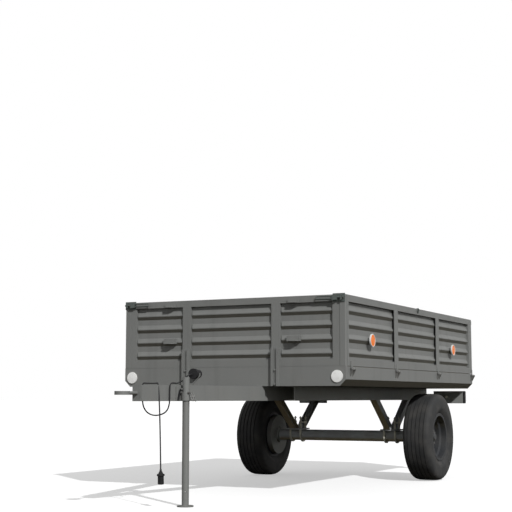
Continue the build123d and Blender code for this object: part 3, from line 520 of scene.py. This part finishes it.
def plate(
    outline: np.ndarray, centre: Point, axis: Axis, depth: float, bevel: float
) -> np.ndarray:
    """A flat piece with bevelled rims.

    The outline is repeated as rings: shrunk by the bevel at both faces, full
    between, and drawn to its middle at both ends.

    Args:
        outline: (across, over) pairs round the middle, in metres.
        centre: the middle of the face that the piece stands on.
        axis: the direction that its thickness takes.
        depth: the thickness, negative to go back.
        bevel: the bevel's width.

    Returns:
        6 x n x 3 points.
    """
    along, across, over = axis.frame()
    reach = np.abs(outline).max(axis=0)
    shrunk = outline * (1.0 - bevel / reach)
    side = math.copysign(bevel, depth)
    levels = np.array([0.0, 0.0, side, depth - side, depth, depth])
    rings = np.stack([0 * outline, shrunk, outline, outline, shrunk, 0 * outline])
    flat = rings[..., :1] * across + rings[..., 1:] * over
    return np.array(centre) + flat + levels[:, None, None] * along


def rounded_box(width: float, height: float, corner: float) -> np.ndarray:
    """Outline of a box with round corners: each corner's centre plus an arc.

    Args:
        width: size across.
        height: size over.
        corner: corner radius.

    Returns:
        BOX_STEPS x 2 points.
    """
    first = math.pi / BOX_STEPS
    angle = np.linspace(0.0, 2.0 * math.pi, BOX_STEPS, endpoint=False) + first
    arc = np.stack([np.cos(angle), np.sin(angle)], axis=1)
    middles = np.sign(arc) * (np.array([width, height]) / 2 - corner)
    return middles + corner * arc


@dataclass
class Piece:
    """One mesh gathered from grids of points whose columns close into rings."""

    name: str
    grids: list[np.ndarray] = field(default_factory=list)

    def add(self, *grids: np.ndarray) -> None:
        """Takes more grids into the piece."""
        self.grids.extend(grids)

    def mesh(self, sharp: float) -> bpy.types.Mesh:
        """Joins the grids' quads, closes seams and poles and turns faces out.

        Args:
            sharp: the angle in degrees past which an edge stays sharp.

        Returns:
            The mesh.
        """
        points, faces, start = [], [], 0
        for grid in self.grids:
            rows, columns, _ = grid.shape
            index = start + np.arange(rows * columns).reshape(rows, columns)
            right = np.roll(index, -1, axis=1)
            quads = [index[:-1], right[:-1], right[1:], index[1:]]
            faces.append(np.stack(quads, axis=-1).reshape(-1, 4))
            points.append(grid.reshape(-1, 3))
            start += rows * columns
        mesh = bpy.data.meshes.new(self.name)
        mesh.from_pydata(np.concatenate(points), [], np.concatenate(faces).tolist())
        shell = bmesh.new()
        shell.from_mesh(mesh)
        bmesh.ops.remove_doubles(shell, verts=shell.verts, dist=MERGE_GAP)
        bmesh.ops.dissolve_degenerate(shell, edges=shell.edges, dist=SHORTEST_EDGE)
        bmesh.ops.recalc_face_normals(shell, faces=shell.faces)
        shell.to_mesh(mesh)
        shell.free()
        mesh.polygons.foreach_set("use_smooth", [True] * len(mesh.polygons))
        mesh.set_sharp_from_angle(angle=math.radians(sharp))
        return mesh

    def build(
        self, finish: Finish, body: str, slot: str, sharp: float = 32.0
    ) -> bpy.types.Object:
        """Makes the object, dresses it and lets it ride.

        Args:
            finish: what covers it.
            body: the CAD body it moves with.
            slot: not used.
            sharp: the angle past which an edge stays sharp.

        Returns:
            The object.
        """
        made = bpy.data.objects.new(self.name, self.mesh(sharp))
        bpy.context.scene.collection.objects.link(made)
        made.data.materials.append(finish.made())
        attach(made, body)
        LOG.info("%s: %d faces", self.name, len(made.data.polygons))
        return made


@dataclass
class Frame:
    """The CAD nodes that keep their shape and get a finish."""

    dressing: dict[str, Finish] = field(
        default_factory=lambda: {
            "floor_sheet": Finish.FLOOR,
            "cross_members": Finish.CHASSIS,
            "chassis_beams": Finish.CHASSIS,
            "axle": Finish.AXLE,
            # The U-bolts in the shade under the body take the lighter bare steel: painted
            # light.
            "u_bolts": Finish.BARE,
            # The backing plates take the lighter chassis paint so that their shaded faces
            # come out brighter: painted fill light.
            "backing": Finish.CHASSIS,
            "hinge_lugs": Finish.HINGE,
            "brake": Finish.DRUM,
            "hub": Finish.DRUM,
            "rim": Finish.RIM,
            "jack_leg": Finish.BODY,
            "rear_latches": Finish.PLATED,
            "front_latches": Finish.LATCH,
            "rear_lamps": Finish.BLACK,
            # The lamp carrier takes the lighter chassis paint so that its shaded side comes
            # out brighter: painted fill light.
            "lamp_carrier": Finish.CHASSIS,
            "lighting_socket": Finish.BLACK,
            "cable_plug": Finish.BLACK,
            "front_reflectors": Finish.PALE,
        }
    )

    def finish_of(self, node: str) -> Finish:
        """The finish whose words the node's name starts with, or body paint."""
        for words, finish in self.dressing.items():
            if node.startswith(words):
                return finish
        return Finish.BODY

    def dress(self) -> None:
        """Puts each node's finish in its material slots."""
        for node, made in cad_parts.items():
            for place in made.material_slots:
                place.material = self.finish_of(node).made()
        LOG.info("frame: %d nodes dressed", len(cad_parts))


@dataclass
class Tyre:
    """A ribbed implement tyre."""

    half_width: float = 0.138
    middle_radius: float = 0.3065
    radius: float = 0.4225
    bead_x: float = 0.1085
    bead_radius: float = 0.2135
    lip_radius: float = 0.236
    squareness: float = 5.0
    groove_gap: float = 0.040
    groove_width: float = 0.009
    groove_depth: float = 0.008
    groove_floor: float = 0.65
    grooves: int = 5
    shoulder_rows: int = 16
    shoulder_crowding: float = 1.2
    wall_rows: int = 21
    wall_curve: float = 2.2
    line_waves: float = 9.0
    line_crest: float = 0.86
    line_height: float = 0.0012
    line_start: float = 0.1
    steps: int = 128
    sharp: float = 28.0

    def crown(self, x: np.ndarray) -> np.ndarray:
        """Radius over the tread: the middle radius plus a rounded-square arch."""
        share = 1.0 - np.abs(x / self.half_width) ** self.squareness
        rise = np.clip(share, 0.0, 1.0) ** (1.0 / self.squareness)
        return self.middle_radius + (self.radius - self.middle_radius) * rise

    def profile(self) -> np.ndarray:
        """The section: one side wall, the grooved tread and the other side wall.

        A groove drops the crown by its depth between two close pairs of points.
        The side wall draws in to the bead by a power of the way down, and stands
        out a little in thin lines where a cosine of the way down crests.

        Returns:
            n x 2 points of (x, radius), closed on itself.
        """
        middles = (np.arange(self.grooves) - (self.grooves - 1) / 2) * self.groove_gap
        half = self.groove_width / 2
        floor = self.groove_floor
        edges = middles[:, None] + half * np.array([-1.0, -floor, floor, 1.0])
        drops = np.tile([0.0, self.groove_depth, self.groove_depth, 0.0], self.grooves)
        turn = np.linspace(0.0, 1.0, self.shoulder_rows) ** self.shoulder_crowding
        shoulder = self.half_width * np.cos(turn * math.pi / 2)
        shoulder = shoulder[shoulder > middles[-1] + self.groove_gap / 2]
        x = np.concatenate([-shoulder, edges.ravel(), shoulder[::-1]])
        drop = np.concatenate([0 * shoulder, drops, 0 * shoulder])
        order = np.argsort(x, kind="stable")
        tread = np.stack([x[order], self.crown(x[order]) - drop[order]], axis=1)
        down = np.linspace(0.0, 1.0, self.wall_rows + 1)[1:]
        wall_r = self.middle_radius + (self.lip_radius - self.middle_radius) * down
        wall_x = self.half_width - (self.half_width - self.bead_x) * down**self.wall_curve
        line = np.cos(down * math.pi * self.line_waves) > self.line_crest
        wall_x = wall_x + self.line_height * line * (down > self.line_start)
        wall = np.stack([np.minimum(wall_x, self.half_width), wall_r], axis=1)
        foot = np.array([[self.bead_x, self.bead_radius]])
        right = np.concatenate([wall, foot])
        left = right[::-1] * np.array([-1.0, 1.0])
        return np.concatenate([left, tread, right, left[:1]])

    def build(self) -> None:
        """One tyre on each wheel, in place of its plain solid."""
        pairs = self.profile()
        for side in SIDES:
            name = SIDE_NAMES[side]
            piece = Piece(f"tyre_ribbed_{name}")
            centre = (side * WHEEL_X, AXLE_Y, AXLE_Z)
            piece.add(turned(pairs, centre, Axis.X, self.steps))
            made = piece.build(Finish.TYRE, f"wheel_{name}", "tyre", self.sharp)
            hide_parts(f"tyre_{name}")


@dataclass
class WheelFittings:
    """Nuts and studs on the wheel disc."""

    disc_x: float = 0.010
    stud_ring: float = 0.1025
    studs: int = 6
    nut_radius: float = 0.0165
    nut_height: float = 0.016
    stud_radius: float = 0.008
    stud_height: float = 0.027
    nut_bevel: float = 0.002
    nut_share: float = 0.86
    stud_bevel: float = 0.0015
    stud_share: float = 0.8
    stud_sunk: float = 0.001
    stud_steps: int = 12
    first_turn: float = 0.35

    def nut(self, centre: Point, facing: float) -> Iterable[np.ndarray]:
        """A six-sided nut with chamfered corners over a threaded stud end."""
        nut = capped(self.nut_radius, self.nut_height, self.nut_bevel, self.nut_share)
        start = self.nut_height - self.stud_sunk
        stud = capped(
            self.stud_radius, self.stud_height, self.stud_bevel, self.stud_share, start
        )
        yield turned(nut, centre, Axis.X, NUT_SIDES, facing)
        yield turned(stud, centre, Axis.X, self.stud_steps, facing)

    def build(self) -> None:
        """A ring of nuts on each wheel."""
        for side in SIDES:
            name = SIDE_NAMES[side]
            piece = Piece(f"wheel_nuts_{name}")
            for index in range(self.studs):
                turn = 2.0 * math.pi * (index + self.first_turn) / self.studs
                y = AXLE_Y + self.stud_ring * math.cos(turn)
                z = AXLE_Z + self.stud_ring * math.sin(turn)
                x = side * (WHEEL_X + self.disc_x)
                piece.add(*self.nut((x, y, z), side))
            piece.build(Finish.PLATED, f"wheel_{name}", "plated_steel", NUT_SHARP)


@dataclass
class Reflectors:
    """Round white reflectors in front and amber ones on the side boards."""

    white_x: float = 0.975
    white_z: float = 0.980
    white_radius: float = 0.0455
    white_body: float = 0.0505
    white_depth: float = 0.010
    amber_ys: tuple[float, float] = (FRONT_Y + 0.548, FRONT_Y + 2.834)
    amber_z: float = 1.289
    amber_face: float = 1.078
    amber_radius: float = 0.0485
    body_radius: float = 0.0555
    body_depth: float = 0.013
    stem_radius: float = 0.008
    stem_start: float = 1.0385
    rim_bevel: float = 0.002
    lens_rise: float = 0.003
    lens_sunk: float = 0.001
    amber_sunk: float = 0.003
    amber_gap: float = 0.001
    dome_rows: int = 7
    dome_fall: float = 0.6
    steps: int = 48
    stem_steps: int = 16

    def dome(self, radius: float, rise: float) -> list[tuple[float, float]]:
        """A shallow dome with an upright rim: the rise falls with radius squared."""
        share = np.linspace(1.0, 0.0, self.dome_rows)
        curve = [(rise * (1.0 - self.dome_fall * s * s), radius * s) for s in share]
        return [(0.0, 0.0), (0.0, radius), *curve]

    def build(self) -> None:
        """The lenses, the amber ones' round bodies and the stems behind them."""
        holders = Piece("front_reflector_bodies")
        for side in SIDES:
            name = SIDE_NAMES[side]
            foot = (side * self.white_x, FRONT_Y, self.white_z)
            r, d, b = self.white_body, self.white_depth, self.rim_bevel
            holder = [(0, 0), (0, r), (d - b, r), (d, r - b), (d, 0)]
            holders.add(turned(holder, foot, Axis.Y, self.steps, -1.0))
            lens = Piece(f"front_lens_{name}")
            centre = (side * self.white_x, FRONT_Y - d + self.lens_sunk, self.white_z)
            dome = self.dome(self.white_radius, self.lens_rise)
            lens.add(turned(dome, centre, Axis.Y, self.steps, -1.0))
            lens.build(Finish.WHITE_LENS, "root", "white_reflector")
            body = Piece(f"side_reflector_body_{name}")
            amber = Piece(f"side_reflector_lens_{name}")
            r, d = self.body_radius, self.body_depth
            floor = d - self.amber_sunk
            rim = [(0, 0), (0, r), (d - b, r), (d, r - b)]
            rim += [(d, self.amber_radius + self.amber_gap), (floor, self.amber_radius)]
            rim += [(floor, 0)]
            stem = self.amber_face - self.body_depth - self.stem_start
            s = self.stem_radius
            for y in self.amber_ys:
                back = (side * (self.amber_face - d), y, self.amber_z)
                body.add(turned(rim, back, Axis.X, self.steps, side))
                foot = (side * self.stem_start, y, self.amber_z)
                pin = [(0, 0), (0, s), (stem, s), (stem, 0)]
                body.add(turned(pin, foot, Axis.X, self.stem_steps, side))
                front = (side * (self.amber_face - self.amber_sunk), y, self.amber_z)
                dome = self.dome(self.amber_radius, self.lens_rise)
                amber.add(turned(dome, front, Axis.X, self.steps, side))
            moves = f"side_board_{name}"
            made = body.build(Finish.PALE, moves, "amber_reflector")
            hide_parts(f"side_reflectors_{name}")
            amber.build(Finish.AMBER_LENS, moves, "amber_reflector")
        made = holders.build(Finish.PALE, "root", "white_reflector")
        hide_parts("front_reflectors")


@dataclass
class TailLamps:
    """Lens fields on the back of each lamp housing."""

    fields: tuple[tuple[float, float, Finish], ...] = (
        (0.737, 0.082, Finish.RED_LENS),
        (0.833, 0.098, Finish.RED_LENS),
        (0.929, 0.082, Finish.AMBER_LENS),
    )
    middle_z: float = 0.811
    height: float = 0.108
    depth: float = 0.014
    corner: float = 0.009
    bevel: float = 0.004
    sunk: float = 0.001

    def build(self) -> None:
        """Three lens fields a side, two red and one amber outside."""
        for side in SIDES:
            for index, (x, width, finish) in enumerate(self.fields):
                piece = Piece(f"tail_lens_{SIDE_NAMES[side]}_{index}")
                outline = rounded_box(self.height, width, self.corner)
                centre = (side * x, REAR_Y - self.sunk, self.middle_z)
                piece.add(plate(outline, centre, Axis.Y, self.depth, self.bevel))
                slot = "amber_reflector" if finish is Finish.AMBER_LENS else "black_plastic"
                piece.build(finish, "root", slot)


@dataclass
class ClampNuts:
    """Nuts on the U-bolts' ends and bolts that hold small pieces."""

    bolt_xs: tuple[float, float] = (0.462, 0.578)
    leg_reach: float = 0.0633
    seat_z: float = 0.5585
    nut_radius: float = 0.0145
    nut_height: float = 0.012
    thread_radius: float = 0.0075
    thread_length: float = 0.056
    lock_height: float = 0.034
    nut_bevel: float = 0.0015
    nut_share: float = 0.86
    lamp_bolt_x: float = 0.7755
    lamp_bolt_y: float = REAR_Y - 0.048
    lamp_bolt_z: float = 0.8136

    def build(self) -> None:
        """Nuts on long threaded ends, with lock nuts, and the lamp plates' bolts."""
        nut = capped(self.nut_radius, self.nut_height, self.nut_bevel, self.nut_share)
        piece = Piece("clamp_nuts")
        for side in SIDES:
            for x in self.bolt_xs:
                for reach in (-self.leg_reach, self.leg_reach):
                    centre = (side * x, AXLE_Y + reach, self.seat_z)
                    piece.add(turned(nut, centre, Axis.Z, NUT_SIDES))
                    x_at, y_at, z_at = centre
                    tip = (x_at, y_at, z_at + self.thread_length)
                    piece.add(rod(centre, tip, self.thread_radius))
                    lock = (x_at, y_at, z_at + self.lock_height)
                    piece.add(turned(nut, lock, Axis.Z, NUT_SIDES))
            lamp = (side * self.lamp_bolt_x, self.lamp_bolt_y, self.lamp_bolt_z)
            piece.add(turned(nut, lamp, Axis.Y, NUT_SIDES, -1.0))
        piece.build(Finish.BARE, "root", "bare_steel", NUT_SHARP)


@dataclass
class LightingCable:
    """The cable from the socket, round the drawbar and down to its plug."""

    diameter: float = 0.0105
    length: float = 1.626
    round_steps: int = 4
    line_steps: int = 12
    spline_order: int = 3
    route: tuple[Point, ...] = (
        (0.147, 0.928, 0.983),
        (0.147, 0.952, 0.983),
        (0.132, 0.978, 0.956),
        (0.113, 1.004, 0.929),
        (0.103, 1.046, 0.916),
        (0.100, 1.098, 0.919),
        (0.103, 1.153, 0.916),
        (0.103, 1.157, 0.838),
        (0.102, 1.155, 0.760),
        (0.080, 1.164, 0.700),
        (0.020, 1.193, 0.674),
        (-0.036, 1.222, 0.685),
        (-0.073, 1.243, 0.732),
        (-0.082, 1.248, 0.810),
        (-0.082, 1.252, 0.919),
        (-0.042, 1.254, 0.916),
        (0.039, 1.258, 0.915),
        (0.079, 1.262, 0.919),
        (0.079, 1.236, 0.282),
    )

    def build(self) -> None:
        """One smooth spline; route points are (x, distance ahead of the body, z)."""
        curve = bpy.data.curves.new("lighting_cable_line", "CURVE")
        curve.dimensions = "3D"
        curve.bevel_depth = self.diameter / 2
        curve.bevel_resolution = self.round_steps
        curve.resolution_u = self.line_steps
        spline = curve.splines.new("NURBS")
        spline.points.add(len(self.route) - 1)
        points = np.array([(x, FRONT_Y - ahead, z, 1.0) for x, ahead, z in self.route])
        spline.points.foreach_set("co", points.ravel())
        spline.order_u = self.spline_order
        spline.use_endpoint_u = True
        made = bpy.data.objects.new("lighting_cable_line", curve)
        bpy.context.scene.collection.objects.link(made)
        curve.materials.append(Finish.CABLE.made())
        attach(made, "root")
        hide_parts("lighting_cable")
        plug = Plug(tuple(points[-2, :3]), tuple(points[-1, :3])).build()
        LOG.info("lighting cable: %d route points", len(self.route))


@dataclass
class Plug:
    """The plug at the cable's end, with a strain cone, a flange and a ribbed grip."""

    cable_from: Point
    cable_end: Point
    radius: float = 0.023
    ribs: int = 8
    rib_pitch: float = 0.005
    rib_height: float = 0.0009
    groove_width: float = 0.002
    rib_slope: float = 0.0005
    grip_start: float = 0.048
    length: float = 0.107
    mouth_bevel: float = 0.003
    mouth_radius: float = 0.018
    mouth_depth: float = 0.015
    mouth_rim: float = 0.002
    mouth_taper: float = 0.001
    steps: int = 36
    cone: tuple[tuple[float, float], ...] = (
        (-0.004, 0.0),
        (-0.004, 0.0065),
        (0.004, 0.0085),
        (0.012, 0.0085),
        (0.014, 0.0125),
        (0.027, 0.0165),
        (0.033, 0.0285),
        (0.045, 0.0285),
    )

    def profile(self) -> list[tuple[float, float]]:
        """The strain cone and flange, the ribbed grip and the hollow mouth.

        Returns:
            (distance from the cable's end, radius) pairs; a rib is a small step.
        """
        pairs = list(self.cone)
        r, low = self.radius, self.radius - self.rib_height
        for index in range(self.ribs):
            at = self.grip_start + index * self.rib_pitch
            rise = at + self.groove_width
            crest = rise + self.rib_slope
            fall = at + self.rib_pitch - self.rib_slope
            pairs += [(at, low), (rise, low), (crest, r), (fall, r)]
        end, mouth = self.length, self.mouth_radius
        floor = end - self.mouth_depth
        pairs += [(end - self.mouth_bevel, r), (end, r - self.mouth_rim), (end, mouth)]
        return pairs + [(floor, mouth - self.mouth_taper), (floor, 0.0)]

    def build(self) -> bpy.types.Object:
        """The plug on the line that the cable ends on, in place of the plain one.

        Returns:
            The object, which the cable names as its own.
        """
        piece = Piece("plug_ribbed")
        way = np.array(self.cable_end) - np.array(self.cable_from)
        beyond = tuple(np.array(self.cable_end) + way)
        piece.add(lathe(self.profile(), self.cable_end, beyond, self.steps))
        made = piece.build(Finish.BLACK, "root", "black_plastic")
        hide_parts("cable_plug")
        return made


@dataclass
class HingePins:
    """Ends of the hinge pins beside each lug and the knobs at the rear corners."""

    side_x: float = 1.066
    rear_y: float = REAR_Y + 0.016
    pin_z: float = 1.040
    side_lugs: tuple[float, ...] = (-0.861, 0.2103, 1.4017, 2.563)
    rear_lugs: tuple[float, ...] = (-0.990, -0.456, 0.396, 0.930)
    lug_width: float = 0.060
    head_radius: float = 0.0095
    head_length: float = 0.007
    knob_radius: float = 0.011
    knob_length: float = 0.022
    head_bevel: float = 0.002
    head_share: float = 0.7
    knob_bevel: float = 0.003
    knob_share: float = 0.75
    steps: int = 16
    latch_x: float = 1.036
    latch_y: float = REAR_Y + 0.006
    latch_z: float = 1.612

    def build(self) -> None:
        """A head at both ends of each lug, and one knob a corner, top and bottom."""
        head = capped(self.head_radius, self.head_length, self.head_bevel, self.head_share)
        knob = capped(self.knob_radius, self.knob_length, self.knob_bevel, self.knob_share)
        piece = Piece("hinge_pin_ends")
        latch = Piece("rear_corner_latches")
        for side in SIDES:
            x = side * self.side_x
            for y in self.side_lugs:
                start = (x, y, self.pin_z)
                piece.add(turned(head, start, Axis.Y, self.steps, -1.0))
                if y + self.lug_width < REAR_Y:
                    end = (x, y + self.lug_width, self.pin_z)
                    piece.add(turned(head, end, Axis.Y, self.steps))
            foot = (x, REAR_Y, self.pin_z)
            piece.add(turned(knob, foot, Axis.Y, self.steps))
            top = (side * self.latch_x, self.latch_y, self.latch_z)
            latch.add(turned(knob, top, Axis.Y, self.steps))
        for x in self.rear_lugs:
            start = (x, self.rear_y, self.pin_z)
            piece.add(turned(head, start, Axis.X, self.steps, -1.0))
            end = (x + self.lug_width, self.rear_y, self.pin_z)
            piece.add(turned(head, end, Axis.X, self.steps))
        piece.build(Finish.PLATED, "root", "plated_steel")
        latch.build(Finish.LATCH, "rear_board", "plated_steel")


@dataclass
class RopeRings:
    """A rope ring on the top rail of each side board."""

    ring_x: float = 1.0555
    ring_y: float = FRONT_Y + 1.80
    ring_z: float = 1.624
    ring_radius: float = 0.020
    wire_radius: float = 0.0042
    staple_start: float = 1.040
    staple_end: float = 1.0625
    staple_radius: float = 0.0045
    wire_steps: int = 12
    ring_steps: int = 28

    def build(self) -> None:
        """A ring, a wire circle turned about the board's own normal, on a staple."""
        turn = np.linspace(0.0, 2.0 * math.pi, self.wire_steps + 1)
        wire_x = self.wire_radius * np.cos(turn)
        wire_r = self.ring_radius + self.wire_radius * np.sin(turn)
        ring = list(zip(wire_x, wire_r))
        for side in SIDES:
            name = SIDE_NAMES[side]
            piece = Piece(f"rope_ring_{name}")
            centre = (side * self.ring_x, self.ring_y, self.ring_z)
            piece.add(turned(ring, centre, Axis.X, self.ring_steps))
            top = self.ring_z + self.ring_radius
            foot = (side * self.staple_start, self.ring_y, top)
            head = (side * self.staple_end, self.ring_y, top)
            piece.add(rod(foot, head, self.staple_radius))
            piece.build(Finish.LATCH, f"side_board_{name}", "plated_steel")


@dataclass
class JackClamp:
    """The clamp's dark lever, its bent handle and the nuts on the clamp."""

    lever: tuple[Point, Point] = ((0.137, -2.004, 0.875), (0.116, -2.010, 0.788))
    handle: tuple[Point, ...] = (
        (0.203, -1.990, 0.846),
        (0.231, -2.008, 0.842),
        (0.258, -2.010, 0.788),
        (0.243, -2.010, 0.786),
        (0.228, -2.008, 0.812),
    )
    nuts: tuple[Point, ...] = (
        (0.146, -2.002, 0.848),
        (0.151, -2.006, 0.874),
        (0.206, -1.996, 0.848),
    )
    lever_radius: float = 0.0075
    wire_radius: float = 0.0042
    nut_radius: float = 0.008
    nut_height: float = 0.011
    nut_bevel: float = 0.0015
    nut_share: float = 0.875

    def build(self) -> None:
        """Rods between the points; nuts face forward."""
        lever = Piece("clamp_lever")
        foot, head = self.lever
        lever.add(rod(foot, head, self.lever_radius))
        lever.build(Finish.BLACK, "root", "black_plastic")
        handle = Piece("clamp_handle")
        for foot, head in zip(self.handle, self.handle[1:]):
            handle.add(rod(foot, head, self.wire_radius))
        nut = capped(self.nut_radius, self.nut_height, self.nut_bevel, self.nut_share)
        for centre in self.nuts:
            handle.add(turned(nut, centre, Axis.Y, NUT_SIDES, -1.0))
        handle.build(Finish.PLATED, "root", "plated_steel", NUT_SHARP)


@dataclass
class Seams:
    """The narrow sill that shows in the seam below each side board."""

    low_z: float = 1.0580
    high_z: float = 1.0618
    side_x: float = 1.038
    side_width: float = 0.016
    start: float = FRONT_Y + 0.036
    length: float = 3.50
    corner: float = 0.001
    bevel: float = 0.0005

    def build(self) -> None:
        """Two long strips."""
        tall = self.high_z - self.low_z
        middle = (self.high_z + self.low_z) / 2
        piece = Piece("sill_strips")
        for side in SIDES:
            outline = rounded_box(tall, self.side_width, self.corner)
            centre = (side * self.side_x, self.start, middle)
            piece.add(plate(outline, centre, Axis.Y, self.length, self.bevel))
        piece.build(Finish.SEAM, "root", "body_paint")


@dataclass
class Studio:
    """Camera, sun, sky and floor."""

    eye: Point = (4.591, -9.584, 0.8149)
    pitch: float = 96.96
    yaw: float = 26.73
    lens: float = 81.14
    sun_way: Point = (-1.14, 0.92, -1.0)
    sun_strength: float = 3.12
    sun_width: float = 1.0
    sky_low: float = 1.15
    sky_high: float = 0.28
    sky_turn: float = 0.27
    floor_size: float = 400.0
    floor_glow: float = 0.46
    floor_shade: float = 0.72
    floor_bounce: Colour = (0.08, 0.074, 0.06)

    def camera(self) -> None:
        """A long lens from low in front of the left corner."""
        data = bpy.data.cameras.new("view")
        data.lens = self.lens
        data.clip_end = 1000.0
        made = bpy.data.objects.new("view", data)
        made.location = self.eye
        made.rotation_euler = (math.radians(self.pitch), 0.0, math.radians(self.yaw))
        bpy.context.scene.collection.objects.link(made)
        bpy.context.scene.camera = made

    def light(self) -> None:
        """One sun from the front left, and a sky brighter low down.

        The sky is plain white to the camera and in reflections.
        """
        data = bpy.data.lights.new("sun", "SUN")
        data.energy = self.sun_strength
        data.angle = math.radians(self.sun_width)
        made = bpy.data.objects.new("sun", data)
        made.rotation_euler = Vector(self.sun_way).to_track_quat("-Z", "Y").to_euler()
        bpy.context.scene.collection.objects.link(made)
        world = bpy.data.worlds.new("sky")
        world.use_nodes = True
        graph = Graph(world.node_tree)
        ways = graph.node("ShaderNodeTexCoord", {}, {}, "Generated")
        rise = graph.node("ShaderNodeSeparateXYZ", {}, {0: ways}, "Z")
        fall = self.sky_low - self.sky_high
        sky = self.sky_low - fall * rise.step(0.0, self.sky_turn)
        plain = graph.node("ShaderNodeLightPath", {}, {}, "Is Camera Ray")
        for ray in ("Is Glossy Ray", "Is Transmission Ray"):
            other = graph.node("ShaderNodeLightPath", {}, {}, ray)
            plain = plain.maths("MAXIMUM", plain, other)
        strength = sky + plain * (1.0 - sky)
        shader = graph.node(
            "ShaderNodeBackground", {}, {"Color": (1, 1, 1, 1), "Strength": strength}
        )
        graph.node("ShaderNodeOutputWorld", {}, {"Surface": shader})
        bpy.context.scene.world = world

    def floor(self) -> None:
        """A wide floor that is white in the sun and pale grey in shadow."""
        mesh = bpy.data.meshes.new("floor")
        half = self.floor_size / 2
        corners = [(-half, -half, 0), (half, -half, 0), (half, half, 0), (-half, half, 0)]
        mesh.from_pydata(corners, [], [(0, 1, 2, 3)])
        material, graph = blank_material("floor_pale")
        lit = graph.node(
            "ShaderNodeBsdfDiffuse", {}, {"Color": (*[self.floor_shade] * 3, 1)}
        )
        glow = graph.node("ShaderNodeEmission", {}, {"Strength": self.floor_glow})
        shown = graph.node("ShaderNodeAddShader", {}, {0: lit, 1: glow})
        unseen = graph.node(
            "ShaderNodeBsdfDiffuse", {}, {"Color": (*self.floor_bounce, 1)}
        )
        seen = graph.node("ShaderNodeLightPath", {}, {}, "Is Camera Ray")
        mixed = graph.node("ShaderNodeMixShader", {}, {0: seen, 1: unseen, 2: shown})
        graph.node("ShaderNodeOutputMaterial", {}, {"Surface": mixed})
        mesh.materials.append(material)
        made = bpy.data.objects.new("floor", mesh)
        bpy.context.scene.collection.objects.link(made)

    def build(self) -> None:
        """Sets the whole stage."""
        self.camera()
        self.light()
        self.floor()
        bpy.context.scene.view_settings.view_transform = "Standard"
        LOG.info("studio: camera, sun, sky and floor")


def main() -> None:
    """Builds every assembly in order."""
    logging.basicConfig(level=logging.INFO, format="%(name)s %(message)s")
    parts = (
        Frame().dress,
        Tyre().build,
        WheelFittings().build,
        Reflectors().build,
        TailLamps().build,
        ClampNuts().build,
        LightingCable().build,
        HingePins().build,
        RopeRings().build,
        JackClamp().build,
        Seams().build,
        Studio().build,
    )
    for part in parts:
        part()


if __name__ == "__main__":
    main()
